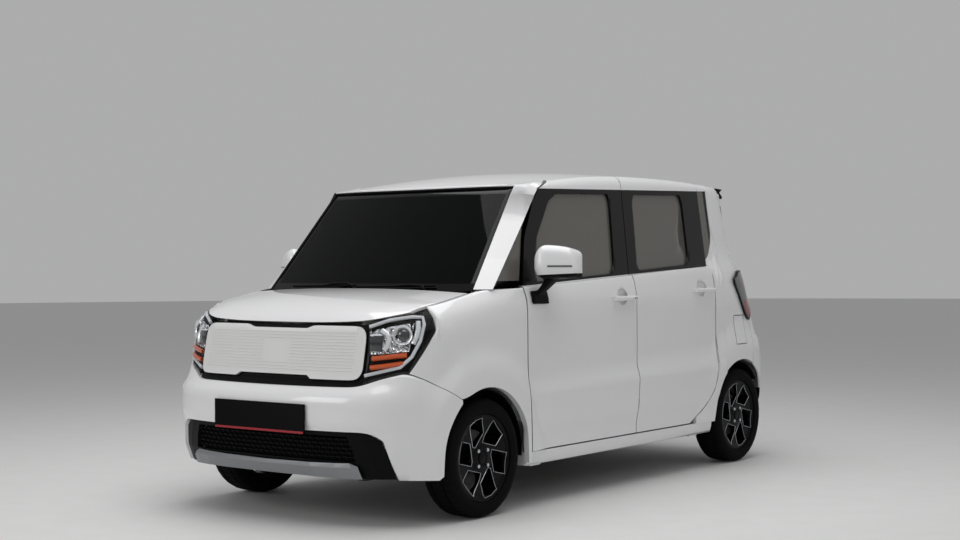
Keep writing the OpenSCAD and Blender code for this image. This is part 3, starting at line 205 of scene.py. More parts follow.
# Tyres
# Radial road tyres, moulded rubber on a steel-belted casing: two straight rain grooves, tread blocks cut by
# sipes, a scuff rib on the sidewall, and a bead that snaps under the rim's flange.
def chosen(piece):
    """The one selected and active object."""
    bpy.ops.object.select_all(action="DESELECT")
    piece.select_set(True)
    bpy.context.view_layer.objects.active = piece
    return piece


def edited(piece, *steps):
    """Edit-mode steps on the whole mesh, each an operator and its settings."""
    chosen(piece)
    bpy.ops.object.mode_set(mode="EDIT")
    bpy.ops.mesh.select_all(action="SELECT")
    for step, settings in steps:
        step(**settings)
    bpy.ops.object.mode_set(mode="OBJECT")


def dressed(piece, material, body, smooth_at=35.0):
    """Smooth shading between hard edges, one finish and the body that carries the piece."""
    chosen(piece)
    bpy.ops.object.shade_smooth_by_angle(angle=radians(smooth_at))
    piece.data.materials.clear()
    piece.data.materials.append(material)
    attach(piece, body)
    return piece


facing_out = (bpy.ops.mesh.normals_make_consistent, {"inside": False})


def turned(name, outline, centre, axis, steps):
    """A closed outline of (radius, reach along the axis) spun once round the axis."""
    bpy.ops.mesh.primitive_circle_add(vertices=len(outline), radius=1.0)
    piece = bpy.context.object
    piece.name = name
    axis = Vector(axis).normalized()
    spoke = axis.orthogonal().normalized()
    for vert, (radius, reach) in zip(piece.data.vertices, outline):
        vert.co = Vector(centre) + spoke * radius + axis * reach
    edited(piece, (bpy.ops.mesh.spin, {"steps": steps, "angle": tau, "center": centre, "axis": axis}),
           (bpy.ops.mesh.remove_doubles, {"threshold": 0.00005}), facing_out)
    return piece


# carbon-black rubber: nearly black, matt on the tread, a little bloom on the sidewall, sipes 18 mm apart
road_rubber, tree, shader, place = finish("carbon_black_rubber", "#070708", 0.8, Specular_IOR_Level=0.07)
wrap = add(tree, "UVMap", uv_map="wrap")
split = add(tree, "SeparateXYZ", None, {"Vector": wrap.outputs["UV"]})
sipe = add(tree, "TexWave", {"Scale": 15.4, "Distortion": 1.2, "Detail": 1.0}, {"Vector": wrap.outputs["UV"]},
           wave_type="BANDS", bands_direction="X")
tread = add(tree, "Math", {1: 0.5}, {0: split.outputs["Y"]}, operation="LESS_THAN")
cut = add(tree, "Math", None, {0: sipe.outputs["Fac"], 1: tread.outputs[0]}, operation="MULTIPLY")
toned(tree, shader, noise(tree, place, 60.0, 4.0), "#09090a", "#131314")
ripple(tree, shader, cut.outputs[0], 0.8, 0.004)

half_tyre = [(0.2045, 0.064), (0.2085, 0.080), (0.236, 0.0873), (0.240, 0.0866), (0.262, 0.0815), (0.2725, 0.0715),
             (0.2770, 0.056), (0.2778, 0.038), (0.2715, 0.0365), (0.2715, 0.0315), (0.2780, 0.030)]
tyre_outline = half_tyre + [(r, -w) for r, w in reversed(half_tyre)]
axles = {"front": -1.1225, "rear": 1.3975}
wheel_x, wheel_z = 0.704, 0.278
hands = (("left", 1), ("right", -1))
wheels = [(f"{end}_{hand}", Vector((side * wheel_x, axles[end], wheel_z)), side)
          for end in axles for hand, side in hands]
half_width = 0.0873
for place_name, hub, side in wheels:
    tyre = turned(f"tyre_{place_name}_tread", tyre_outline, hub, (side, 0, 0), 34)
    wrap = tyre.data.uv_layers.new(name="wrap")
    for face in tyre.data.polygons:
        middle = face.center - hub
        base = atan2(middle.z, middle.y)
        for corner in face.loop_indices:
            spot = tyre.data.vertices[tyre.data.loops[corner].vertex_index].co - hub
            swing = (atan2(spot.z, spot.y) - base + pi) % tau - pi
            wrap.data[corner].uv = ((base + swing) / tau, abs(spot.x) / half_width * 0.62)
    dressed(tyre, road_rubber, f"{place_name}_wheel", 50.0)
    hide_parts(f"tyre_{place_name}")


# Wheels
# Cast aluminium rims, powder-coated gloss black; the pockets' edges are then turned bright on a lathe and lacquered.
# Four zinc-plated bolts and a plain pressed cap hold and close each hub, and a grey iron disc shows behind.
def clouded(name, code, roughness, low, high, scale, **sockets):
    """A finish whose roughness drifts between two values."""
    made, tree, shader, place = finish(name, code, roughness, **sockets)
    drift = add(tree, "MapRange", {"To Min": low, "To Max": high}, {"Value": noise(tree, place, scale, 3.0)})
    tree.links.new(drift.outputs["Result"], shader.inputs["Roughness"])
    return made


# powder coat: deep gloss black, faintly wavy where it flowed
gloss_black_coat = grained("gloss_black_powder_coat", "#030304", 0.3, scale=330.0, strength=0.08, depth=0.0004,
                           detail=1.0, Specular_IOR_Level=0.08, Coat_Weight=0.04, Coat_Roughness=0.06)
# diamond-turned aluminium: bright, with lathe lines half a millimetre apart
turned_alloy = grained("diamond_turned_aluminium", "#b9bcc0", 0.28, scale=1500.0, strength=0.15, depth=0.0002,
                       detail=2.0, Metallic=1.0)
# zinc plate: pale grey bright metal, faintly clouded
zinc_plate = clouded("bright_zinc_plate", "#c9ccd0", 0.22, 0.16, 0.34, scale=240.0, Metallic=1.0)
# machined grey iron: dull steel with swirl marks and a haze of rust
disc_iron = mottled("machined_grey_iron", "#6f6c68", 0.4, "#4a4948", "#3a3532", scale=70.0, detail=5.0, Metallic=0.9)


def merged(node, name):
    """A copy of a node's mesh with its loose triangles joined."""
    piece = linked(name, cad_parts[node].data.copy())
    edited(piece, (bpy.ops.mesh.remove_doubles, {"threshold": 0.00002}))
    return piece


def joined(pieces, name):
    """Several pieces as one mesh."""
    bpy.ops.object.select_all(action="DESELECT")
    for piece in pieces:
        piece.select_set(True)
    bpy.context.view_layer.objects.active = pieces[0]
    bpy.ops.object.join()
    pieces[0].name = name
    return pieces[0]


def bead(name, paths, radius, closed=False, sides=2):
    """Round beading along lists of points, made a mesh."""
    curve = bpy.data.curves.new(name, "CURVE")
    curve.dimensions, curve.bevel_depth, curve.bevel_resolution, curve.use_fill_caps = "3D", radius, sides, True
    for path_points in paths:
        spline = curve.splines.new("POLY")
        spline.points.add(len(path_points) - 1)
        for knot, spot in zip(spline.points, path_points):
            knot.co = (*spot, 1.0)
        spline.use_cyclic_u = closed
    chosen(linked(name, curve))
    bpy.ops.object.convert(target="MESH")
    piece = bpy.context.object
    edited(piece, facing_out)
    return piece


pockets = [[(-7, 188), (-57, 180), (-101, 157), (-68, 56), (-50, 50), (13, 118)],
           [(80, 170), (154, 95), (107, 46), (6, 71), (20, 102)],
           [(80, 32), (184, 8), (165, -92), (91, -74), (71, 10)]]
face_line = [(26, 62), (34, 66), (70, 60), (110, 62), (177, 66), (189, 72.5), (203, 72.5)]


def face_at(radius):
    """How far the rim's face stands out at a radius, in mm."""
    for (r0, w0), (r1, w1) in zip(face_line, face_line[1:]):
        if radius <= r1:
            return w0 + (w1 - w0) * max(0.0, radius - r0) / (r1 - r0)
    return face_line[-1][1]


bolt_ring = 0.050
cap_outline = [(0.0001, 0.0635), (0.028, 0.0635), (0.029, 0.0665), (0.0265, 0.0685), (0.024, 0.0670), (0.014, 0.0682),
               (0.0001, 0.0690)]
disc_outline = [(0.064, -0.016), (0.084, -0.016), (0.086, -0.018), (0.127, -0.018), (0.128, -0.016), (0.128, -0.002),
                (0.127, 0.0), (0.086, 0.0), (0.084, -0.002), (0.064, -0.002)]
for place_name, hub, side in wheels:
    body = f"{place_name}_wheel"
    rim = dressed(merged(f"rim_{place_name}", f"rim_{place_name}_coated"), gloss_black_coat, body, 30.0)
    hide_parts(f"rim_{place_name}")
    edges = []
    for half_turn in (1, -1):
        for pocket in pockets:
            loop = []
            for (y0, z0), (y1, z1) in zip(pocket, pocket[1:] + pocket[:1]):
                for t in (0.0, 0.25, 0.5, 0.75):
                    y, z = half_turn * (y0 + (y1 - y0) * t), half_turn * (z0 + (z1 - z0) * t)
                    reach = face_at(hypot(y, z)) + 0.2
                    loop.append(hub + Vector((side * reach, y, z)) / 1000)
            edges.append(loop)
    dressed(bead(f"rim_{place_name}_turned_edges", edges, 0.0015, True), turned_alloy, body)
    dressed(turned(f"hub_cap_{place_name}", cap_outline, hub, (side, 0, 0), 32), gloss_black_coat, body)
    bolts = []
    for quarter in range(4):
        turn_by = radians(45 + 90 * quarter)
        seat = hub + Vector((side * 0.0665, bolt_ring * cos(turn_by), bolt_ring * sin(turn_by)))
        bpy.ops.mesh.primitive_cylinder_add(vertices=6, radius=0.0098, depth=0.014, location=seat,
                                            rotation=(0, pi / 2, 0))
        bolt = bpy.context.object
        bpy.ops.object.transform_apply(location=True, rotation=True, scale=True)
        edited(bolt, (bpy.ops.mesh.bevel, {"offset": 0.0018, "segments": 2, "affect": "EDGES"}))
        bolts.append(bolt)
    dressed(joined(bolts, f"wheel_bolts_{place_name}"), zinc_plate, body)
    dressed(turned(f"brake_disc_{place_name}", disc_outline, hub, (side, 0, 0), 40), disc_iron, body)


# Painted body panels
# Pressed steel, zinc dipped, primed, sprayed white and lacquered; the bumpers, sills and spoiler are moulded
# in polypropylene and take the same paint. Each panel is the source's own shape, its pressed edges rounded.
def applied(piece, kind, **settings):
    """Adds a modifier, sets it and applies it."""
    chosen(piece)
    change = piece.modifiers.new(kind.lower(), kind)
    for key, value in settings.items():
        setattr(change, key, value)
    bpy.ops.object.modifier_apply(modifier=change.name)


def pressed(node, name, body, levels=2, crease_at=32.0, smooth_at=40.0, corner_at=150.0, quad_at=25.0):
    """A copy of a node's mesh, brought back to quads and rounded between its hard edges."""
    piece = merged(node, name)
    edited(piece, (bpy.ops.mesh.tris_convert_to_quads,
                   {"face_threshold": radians(quad_at), "shape_threshold": radians(quad_at * 2.4)}))
    if levels:
        shell = bmesh.new()
        shell.from_mesh(piece.data)
        edge_crease = shell.edges.layers.float.new("crease_edge")
        point_crease = shell.verts.layers.float.new("crease_vert")
        for edge in shell.edges:
            if len(edge.link_faces) != 2 or degrees(edge.calc_face_angle(0)) > crease_at:
                edge[edge_crease] = 1.0
        for point in shell.verts:
            hard = [e.other_vert(point).co - point.co for e in point.link_edges if e[edge_crease] > 0.5]
            if len(hard) == 2 and degrees(hard[0].angle(hard[1], 0)) < corner_at or len(hard) > 2:
                point[point_crease] = 1.0
        shell.to_mesh(piece.data)
        shell.free()
        applied(piece, "SUBSURF", levels=levels, render_levels=levels)
    bpy.ops.object.shade_smooth_by_angle(angle=radians(smooth_at))
    piece.data.materials.clear()
    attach(piece, body)
    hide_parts(node)
    return piece


def ease(start, end, value):
    """0 at start, 1 at end, smooth between."""
    t = min(1.0, max(0.0, (value - start) / (end - start)))
    return t * t * (3 - 2 * t)


flare_out, step_out, ledge_out = 0.016, 0.022, 0.014


def flared(piece):
    """The pressings' relief: a flare round each wheel arch and a soft step along the lower doors."""
    for point in piece.data.vertices:
        x, y, z = point.co
        if abs(x) < 0.60:
            continue
        front, rear = (hypot(y - axle, z - wheel_z) for axle in axles.values())
        arch = flare_out * max(ease(0.520, 0.415, front) * ease(-1.62, -1.46, y), ease(0.560, 0.430, rear))
        step = step_out * (ease(0.640, 0.560, z - 0.03 * y) - ease(0.440, 0.310, z))
        point.co.x = x + copysign(max(arch, step * ease(-0.86, -0.60, y)) if y < 1.2 else arch, x)
    piece.data.update()


def ledged(piece):
    """The bumper's ledge: its face stands forward below a line across the nose."""
    for point in piece.data.vertices:
        x, y, z = point.co
        if y < -1.45:
            band = ease(0.655, 0.595, z) * ease(0.425, 0.475, z)
            point.co.y = y - ledge_out * band * (1 - ease(0.60, 0.74, abs(x)))
    piece.data.update()


def scored(piece, *cuts):
    """Cuts a mesh along planes, each a point and a normal, so that two finishes meet on a clean line."""
    for spot, normal in cuts:
        edited(piece, (bpy.ops.mesh.bisect, {"plane_co": spot, "plane_no": Vector(normal).normalized()}))


def recolour(piece, material, test):
    """Faces whose centre and normal pass the test take another finish."""
    if material.name not in piece.data.materials:
        piece.data.materials.append(material)
    index = piece.data.materials.find(material.name)
    for face in piece.data.polygons:
        if test(face.center, face.normal):
            face.material_index = index


# two-coat white under clear lacquer: a deep even gloss with the faint orange peel of sprayed paint, 5 mm apart
white_paint = grained("sprayed_white_lacquer", "#ebebec", 0.32, scale=200.0, strength=0.03, depth=0.0004,
                      detail=1.0, IOR=1.5, Coat_Weight=1.0, Coat_Roughness=0.03, Coat_IOR=1.5)
# primer-thin white on inner faces and jambs: duller, with overspray mottle
jamb_paint = mottled("thin_white_jamb_paint", "#d9d9d6", 0.5, "#cfcfcc", "#dededb", scale=90.0, detail=4.0)
# soft-touch cabin plastic: charcoal, leather-like grain 1.5 mm across
cabin_grain = grained("charcoal_cabin_plastic", "#121214", 0.6, scale=660.0, strength=0.4, depth=0.0004,
                      Specular_IOR_Level=0.25)
# window frames: gloss black film over the steel, faintly rippled where it is laid by hand
frame_black = grained("gloss_black_frame_film", "#060607", 0.25, scale=45.0, strength=0.06, depth=0.0006,
                      detail=2.0, Specular_IOR_Level=0.25)
# knitted headliner: pale grey felt with a fine loop, 1 mm apart
headliner = grained("knitted_headliner", "#b5b3ae", 0.95, scale=1000.0, strength=0.5, depth=0.0005, detail=2.0)

paint_nodes = {
    "hood": ("bonnet_panel", "bonnet"), "front_fenders": ("front_wings", "shell"),
    "front_bumper": ("front_bumper_skin", "shell"), "quarter_left": ("left_quarter_panel", "shell"),
    "quarter_right": ("right_quarter_panel", "shell"), "roof_panel": ("roof_skin", "shell"),
    "side_rails": ("roof_rails_and_pillars", "shell"), "side_sills": ("sill_mouldings", "shell"),
    "rear_bumper": ("rear_bumper_skin", "shell"), "tailgate": ("tailgate_panel", "gate"),
    "spoiler": ("roof_spoiler", "gate"), "fuel_flap": ("filler_flap", "flap"),
    "grille_panel": ("grille_cover", "shell"),
}
panels = {}
for node, (name, body) in paint_nodes.items():
    panels[node] = pressed(node, name, body, 0 if node == "side_rails" else 2,
                           quad_at=75.0 if node == "grille_panel" else 25.0)
    panels[node].data.materials.append(white_paint)
    if node in ("front_fenders", "front_bumper", "quarter_left", "quarter_right", "rear_bumper", "fuel_flap"):
        flared(panels[node])
ledged(panels["front_bumper"])
dress(jamb_paint, "front_body", "hinge_posts")
recolour(panels["roof_panel"], headliner, lambda spot, n: n.z < -0.3)
recolour(panels["hood"], jamb_paint, lambda spot, n: n.z < -0.3)
for node in ("quarter_left", "quarter_right", "side_rails"):
    recolour(panels[node], cabin_grain, lambda spot, n: n.x * copysign(1, spot.x) < -0.55 and spot.z > 0.45)


def belt(y):
    """Height of the window sill line."""
    return 1.062 + 0.098 * min(1.0, max(0.0, (y + 0.9995) / 1.93)) ** 1.2


head_climb = 0.027


def head(y):
    """Height of the line over the side windows."""
    return 1.577 + head_climb * y


def blackened(piece, y0, y1):
    """The window band between the sill and head lines, cut clean and finished black."""
    low, high = Vector((0, y0, belt(y0) + 0.006)), Vector((0, y1, belt(y1) + 0.006))
    scored(piece, (low, (0, low.z - high.z, high.y - low.y)), ((0, 0, head(0)), (0, -head_climb, 1)))
    recolour(piece, frame_black, lambda spot, n: spot.z < head(spot.y)
             and spot.z > low.z + (high.z - low.z) * (spot.y - y0) / (y1 - y0))


# Doors
# A pressed steel skin hemmed round an inner panel, painted with the body, with a gloss black window frame.
# A pull handle bridges a cup pressed into the skin; the inside is clad in moulded charcoal trim.
def dimpled(piece, centre, radii):
    """Presses an oval cup into a panel."""
    bpy.ops.mesh.primitive_uv_sphere_add(segments=40, ring_count=20, radius=1.0, location=centre)
    cup = bpy.context.object
    cup.scale = radii
    bpy.ops.object.transform_apply(location=True, rotation=True, scale=True)
    bpy.ops.object.shade_smooth()
    cup.data.materials.append(white_paint)
    applied(piece, "BOOLEAN", operation="DIFFERENCE", object=cup, solver="EXACT")
    bpy.data.objects.remove(cup)


doors = {"door_front_left": ("front_left_door_skin", "front_left_door", 1, 0.095, 1.000, -0.77, 0.26),
         "door_front_right": ("front_right_door_skin", "front_right_door", -1, 0.095, 1.000, -0.77, 0.26),
         "door_rear_left": ("rear_left_door_skin", "rear_left_door", 1, 0.955, 1.030, 0.24, 1.08),
         "door_rear_right": ("sliding_door_skin", "shell", -1, 0.955, 1.030, 0.24, 1.08)}
cup_x, cup_size = 0.778, (0.0155, 0.062, 0.050)
grip_x, grip_half, grip_radius, stud_x = 0.8050, 0.103, 0.0130, 0.8178
stud_outline = [(0.0001, 0.0), (0.0042, 0.0), (0.0042, 0.0022), (0.0036, 0.003), (0.0001, 0.003)]
for node, (name, body, side, grip_y, grip_z, y0, y1) in doors.items():
    door = panels[node] = pressed(node, name, body, corner_at=171.0)
    door.data.materials.append(white_paint)
    flared(door)
    dimpled(door, (side * cup_x, grip_y - 0.004, grip_z), cup_size)
    blackened(door, y0, y1)
    recolour(door, cabin_grain, lambda spot, n: n.x * side < -0.55)
    chosen(door)
    bpy.ops.object.shade_smooth_by_angle(angle=radians(40))
    grip = [Vector((side * (grip_x + 0.002 * (1 - (k / 6) ** 2)), grip_y + grip_half * k / 6, grip_z))
            for k in range(-6, 7)]
    dressed(bead(name.replace("skin", "handle"), [grip], grip_radius, sides=4), white_paint, body,
            60.0)
    if node.startswith("door_front"):
        studs = [turned("stud", stud_outline, (side * stud_x, grip_y + step, grip_z), (side, 0, 0), 16)
                 for step in (0.072, 0.088)]
        dressed(joined(studs, f"{body}_handle_studs"), moulded_black, body)
dress(cabin_grain, "centre_pillar", "dashboard")


# Glass
# Laminated windscreen and toughened side panes, float glass tinted in the melt, bonded or run in rubber channels.
# A band of black ceramic frit hides the windscreen's bond line.

# tinted float glass: brownish grey that shows the cabin as a shadow, in long soft waves
tinted = grained("tinted_float_glass", "#67655f", 0.03, scale=3.0, strength=0.02, depth=0.004, detail=1.0, IOR=1.75,
                 Alpha=0.82)
# laminated screen: nearly black from outside, with the shade of the cabin behind it painted into the glass's colour,
# and a clean mirror of the sky
screen_glass_painted_shade = grained("laminated_screen_glass", "#010202", 0.02, scale=2.0, strength=0.02, depth=0.004, detail=1.0,
                      IOR=1.45, Alpha=0.88, Specular_IOR_Level=0.12)
# black ceramic frit: printed dots fused in the glass, seen as flat black
frit = grained("black_ceramic_frit", "#040405", 0.12, scale=320.0, strength=0.03, depth=0.0002,
               Specular_IOR_Level=0.22)
# extruded rubber: matt black, faintly streaked along
gasket_rubber = grained("extruded_rubber", "#070708", 0.65, scale=130.0, strength=0.2, depth=0.0004, detail=3.0,
                        Specular_IOR_Level=0.2)

glazing = {"glass_front_left": ("front_left_window", "front_left_door"),
           "glass_front_right": ("front_right_window", "front_right_door"),
           "glass_rear_left": ("rear_left_window", "rear_left_door"),
           "glass_rear_right": ("sliding_door_window", "shell"),
           "quarter_glass": ("quarter_windows", "shell"), "gate_glass": ("tailgate_window", "gate")}
for node, (name, body) in glazing.items():
    pane = panels[node] = pressed(node, name, body, levels=0)
    pane.data.materials.append(tinted)
corner = panels["quarter_glass"]
frit_y = max(point.co.y for point in corner.data.vertices) - 0.030
frit_z = min(point.co.z for point in corner.data.vertices) + 0.028
scored(corner, ((0, frit_y, 0), (0, 1, 0)), ((0, 0, frit_z), (0, 0, 1)))
recolour(corner, frit, lambda spot, n: spot.y > frit_y or spot.z < frit_z)
screen = pressed("windscreen", "windscreen_glass", "shell")
# the screen's near-black colour is painted shade of the cabin behind it
screen.data.materials.append(screen_glass_painted_shade)
frit_low, frit_high, frit_x = 1.090, 1.535, 0.640
screen_z, screen_tall, screen_taper = 1.056, 0.512, 0.0688
scored(screen, ((0, 0, frit_low), (0, 0, 1)), ((0, 0, frit_high), (0, 0, 1)),
       *(((side * frit_x, 0, screen_z), (side * screen_tall, 0, screen_taper)) for side in (1, -1)))
recolour(screen, frit, lambda spot, n: spot.z < frit_low or spot.z > frit_high
         or abs(spot.x) > frit_x - screen_taper / screen_tall * (spot.z - screen_z))


def on_screen(f, v, lift=0.0):
    """A point of the windscreen from its place across and up."""
    low, high = -1.1195 + 0.062 * f * f, -0.6795 + 0.052 * f * f
    return Vector((f * (0.672 - 0.072 * v), low + (high - low) * v - 0.76 * lift,
                   screen_z + screen_tall * v + 0.65 * lift))


screen_edge = ([on_screen(-0.997, k / 12) for k in range(13)] + [on_screen(k / 12 - 0.997, 1.0) for k in range(1, 24)]
               + [on_screen(0.997, 1 - k / 12) for k in range(13)])
dressed(bead("windscreen_gasket", [screen_edge], 0.0055), gasket_rubber, "shell")

# two wiper arms of pressed steel, each with a rubber blade on a sprung bridge
for name, root, tip, end_f in (("left", (0.62, -0.02), (0.58, 0.035), -0.02),
                               ("right", (-0.10, 0.034), (-0.14, 0.056), -0.72)):
    arm = [on_screen(root[0] + (tip[0] - root[0]) * t, root[1] + (tip[1] - root[1]) * t,
                     0.008 + 0.012 * sin(t * 3.1)) for t in (0, 0.2, 0.4, 0.6, 0.8, 1.0)]
    start_f = tip[0] + 0.10
    blade = [on_screen(start_f + (end_f - start_f) * k / 10, 0.035 - 0.012 * k / 10, 0.010) for k in range(11)]
    bridge = [(arm[-1] + blade[5]) / 2 + Vector((0, -0.008, 0.006)), blade[5]]
    dressed(bead(f"wiper_{name}", [arm + bridge, blade], 0.0055), moulded_black, "shell")


# Headlamps
# A clear polycarbonate cover welded to a black housing, with a bright inner frame, a projector and a low-beam
# module behind it, and two amber bars for the indicator along the bottom.
def sighted(px, py, panel, lift=0.0, middle=(395, 345)):
    """Where the sight line through a point of the 960 by 540 frame meets a panel, lifted off it.
    A point just past the panel's edge is drawn in towards the middle."""
    across = sensor / focal / picture_wide
    for step in range(30):
        x, y = px + (middle[0] - px) * 0.02 * step, py + (middle[1] - py) * 0.02 * step
        aim = (right * ((x - picture_wide / 2) * across) + up * ((picture_high / 2 - y) * across) - back).normalized()
        hit, spot, normal, _ = panel.ray_cast(lens_place, aim)
        if hit:
            return spot + normal * lift
    raise ValueError(f"{panel.name} isn't on the sight line {px}, {py}")


def land(panel, start, aim, lift=0.0):
    """Where a straight line meets a panel, lifted off it."""
    hit, spot, normal, _ = panel.ray_cast(Vector(start), Vector(aim).normalized())
    if not hit:
        raise ValueError(f"{panel.name} isn't in the way from {start}")
    return spot + normal * lift


def block(name, size):
    """A plain block about the origin."""
    bpy.ops.mesh.primitive_cube_add(size=1.0)
    piece = bpy.context.object
    piece.name = name
    piece.scale = size
    bpy.ops.object.transform_apply(location=False, rotation=False, scale=True)
    return piece


def opposite(piece, name, body):
    """The mirror-image copy on the car's other side."""
    twin = linked(name, piece.data.copy())
    edited(twin, (bpy.ops.transform.resize, {"value": (-1, 1, 1), "center_override": (0, 0, 0)}),
           (bpy.ops.mesh.flip_normals, {}))
    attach(twin, body)
    return twin


def bordered(piece, material, width, test):
    """An inset band of another finish along the edge of the faces that pass the test."""
    chosen(piece)
    piece.data.materials.append(material)
    for face in piece.data.polygons:
        face.select = test(face.center, face.normal)
    bpy.ops.object.mode_set(mode="EDIT")
    bpy.ops.mesh.select_mode(type="FACE")
    bpy.ops.mesh.inset(thickness=width, use_even_offset=False)
    bpy.ops.object.mode_set(mode="OBJECT")
    for face in piece.data.polygons:
        if test(face.center, face.normal) and not face.select:
            face.material_index = len(piece.data.materials) - 1


# polycarbonate: almost clear, hard-coated, with a faint haze
clear_cover = grained("clear_polycarbonate", "#0a0b0c", 0.03, scale=20.0, strength=0.02, depth=0.001, detail=2.0,
                      IOR=1.58, Alpha=0.06)
# vapour-deposited aluminium: mirror bright, rippled by the moulding under it
chrome = grained("vapour_chrome", "#d4d7da", 0.08, scale=60.0, strength=0.15, depth=0.001, detail=1.0, Metallic=1.0)
# silver-painted trim: fine metal flake
silver_trim = grained("silver_paint", "#c3c6c9", 0.3, scale=2500.0, strength=0.1, depth=0.0001, Metallic=0.6)
# white light guide: milky acrylic strip, faintly banded
light_guide = grained("milky_light_guide", "#d5d8dc", 0.2, scale=120.0, strength=0.2, depth=0.0005, detail=2.0,
                      Specular_IOR_Level=0.8)
# bright reflector: metallised moulding with facets 9 mm across
reflector = grained("faceted_reflector", "#e6e9ec", 0.16, scale=110.0, strength=0.6, depth=0.002, Metallic=0.45)
# lamp housing: matt black inside the sealed lamp
lamp_black = grained("matt_lamp_black", "#040405", 0.5, scale=500.0, strength=0.2, depth=0.0003,
                     Specular_IOR_Level=0.12)
# amber acrylic with moulded pillows 6 mm apart
amber = grained("amber_acrylic", "#c9582a", 0.12, scale=160.0, strength=0.5, depth=0.001, IOR=1.49)
# dark lens glass
lens_glass = grained("dark_lens_glass", "#10161a", 0.03, scale=90.0, strength=0.05, depth=0.0005, detail=1.0,
                     IOR=1.9, Coat_Weight=0.5)

frame_in, bar_in, sheet_in, eye_in = -0.006, -0.008, -0.0115, -0.0145
cover = pressed("headlamps", "headlamp_covers", "shell")
cover.data.materials.append(clear_cover)
bordered(cover, lamp_black, 0.013, lambda spot, n: n.y < -0.25)
housing = merged("headlamps", "headlamp_housings")
edited(housing, facing_out, (bpy.ops.transform.shrink_fatten, {"value": eye_in}))
dressed(housing, lamp_black, "shell", 30.0)
bpy.context.view_layer.update()
fittings = []


def fitted(piece, material, smooth_at=35.0):
    """One fitting of the left lamp; the right lamp's twin is made from it."""
    fittings.append(dressed(piece, material, "shell", smooth_at))


def behind_cover(points, lift):
    """Points of the 960 by 540 frame, set behind the lamp's cover."""
    return [sighted(x, y, cover, lift) for x, y in points]


inner_line = behind_cover([(365, 323.5), (390, 319.5), (412, 316.2), (423, 316.5), (424.6, 324), (420.6, 341),
                           (412, 357), (400, 367.5), (364, 375.6)], frame_in)
fitted(bead("headlamp_frame_left", [inner_line], 0.0085), light_guide)
bars = [behind_cover(line, bar_in) for line in ([(371.5, 358.8), (382, 357.6), (396, 356.2), (407, 355.2)],
                                                [(369.8, 367.6), (382, 366.4), (396, 364.6), (403, 363.6)])]
fitted(bead("headlamp_indicator_left", bars, 0.0115), amber)
eye = sighted(402.8, 334.5, cover, eye_in)
outward = Vector((0.42, -0.90, 0.08)).normalized()
bowl = [(0.027, -0.002), (0.034, 0.006), (0.043, 0.013), (0.046, 0.0135), (0.046, 0.010), (0.036, 0.0), (0.027, -0.008)]
fitted(turned("headlamp_bowl_left", bowl, eye, outward, 48), reflector)
ball = [(0.0001, 0.016), (0.010, 0.0152), (0.020, 0.0118), (0.0275, 0.005), (0.0275, -0.006), (0.0001, -0.006)]
fitted(turned("headlamp_projector_left", ball, eye, outward, 48), lens_glass)
corners = [Vector((368.5, 330.5)), Vector((415, 320.5)), Vector((409.5, 351.5)), Vector((369, 355))]
patch = bmesh.new()
rows = []
for v in range(7):
    line = []
    for u in range(10):
        top = corners[0].lerp(corners[1], u / 9)
        spot = top.lerp(corners[3].lerp(corners[2], u / 9), v / 6)
        line.append(patch.verts.new(sighted(spot.x, spot.y, cover, sheet_in)))
    rows.append(line)
for low, high in zip(rows, rows[1:]):
    for k in range(9):
        patch.faces.new((low[k], high[k], high[k + 1], low[k + 1]))
sheet = bpy.data.meshes.new("headlamp_back_left")
patch.to_mesh(sheet)
patch.free()
backing = linked("headlamp_back_left", sheet)
applied(backing, "SOLIDIFY", thickness=0.0015, offset=-1.0)
edited(backing, facing_out)
# faceted chrome: a bright bowl broken into facets, each coloured dark or bright at random, as painted reflections of
# light and dark
facet_chrome_painted_reflections, tree, shader, place = finish("facet_chrome_painted_reflections", "#9a9da1", 0.1, Metallic=1.0)
cell = add(tree, "TexVoronoi", {"Scale": 95.0}, {"Vector": place}, feature="F1")
ripple(tree, shader, cell.outputs["Distance"], 1.0, 0.008)
# painted reflections: each facet's colour runs from dark to bright
toned(tree, shader, cell.outputs["Color"], "#2b2d30", "#e8ebee")
fitted(backing, facet_chrome_painted_reflections, smooth_at=60.0)
bright = behind_cover([(418.5, 321), (418.6, 328), (416.8, 336), (413.2, 344)], bar_in)
crescent = behind_cover([(381.5, 330), (386.5, 333.5), (388.6, 339), (387.2, 345.5), (383.5, 350)], bar_in)
fitted(bead("headlamp_reflector_left", [bright, crescent], 0.0125), reflector)
module = block("headlamp_low_beam_left", (0.060, 0.026, 0.078))
edited(module, (bpy.ops.mesh.bevel, {"offset": 0.006, "segments": 3, "affect": "EDGES"}))
low_beam = sighted(375.5, 342.5, cover, eye_in)
module.data.transform(Matrix.Translation(low_beam) @ Matrix.Rotation(radians(18), 4, "Z"))
fitted(module, light_guide)
recolour(module, lens_glass, lambda spot, n: spot.z < low_beam.z + 0.014)
for piece in fittings:
    opposite(piece, piece.name.replace("_left", "_right"), "shell")


# Grille and lower intake
# The moulded cover between the lamps is painted with the body and carries fine raised ribs; its middle is left plain.
# The black intake below has slats with short staggered dividers, over a silver skid plate, behind a blank number plate.

# the cover's paint is laid on plastic under a satin lacquer: the body's white without its mirror gloss
cover_paint = grained("satin_white_lacquer", "#e0e0df", 0.5, scale=200.0, strength=0.05, depth=0.0004, detail=1.0,
                      Specular_IOR_Level=0.3)
panels["grille_panel"].data.materials[0] = cover_paint
bpy.context.view_layer.update()


def from_ahead(panel, x, z, lift=0.0):
    """Where a line from in front of the car meets a panel."""
    return land(panel, (x, -2.2, z), (0, 1, 0), lift)


ribs = []
for row in range(13):
    z = 0.704 + 0.0142 * row
    spans = [(-0.47, -0.085), (0.085, 0.47)] if 0.745 < z < 0.835 else [(-0.47, 0.47)]
    for x0, x1 in spans:
        ribs.append([from_ahead(panels["grille_panel"], x0 + (x1 - x0) * k / 16, z, 0.0002) for k in range(17)])
dressed(bead("grille_ribs", ribs, 0.0018, sides=1), cover_paint, "shell", 60.0)

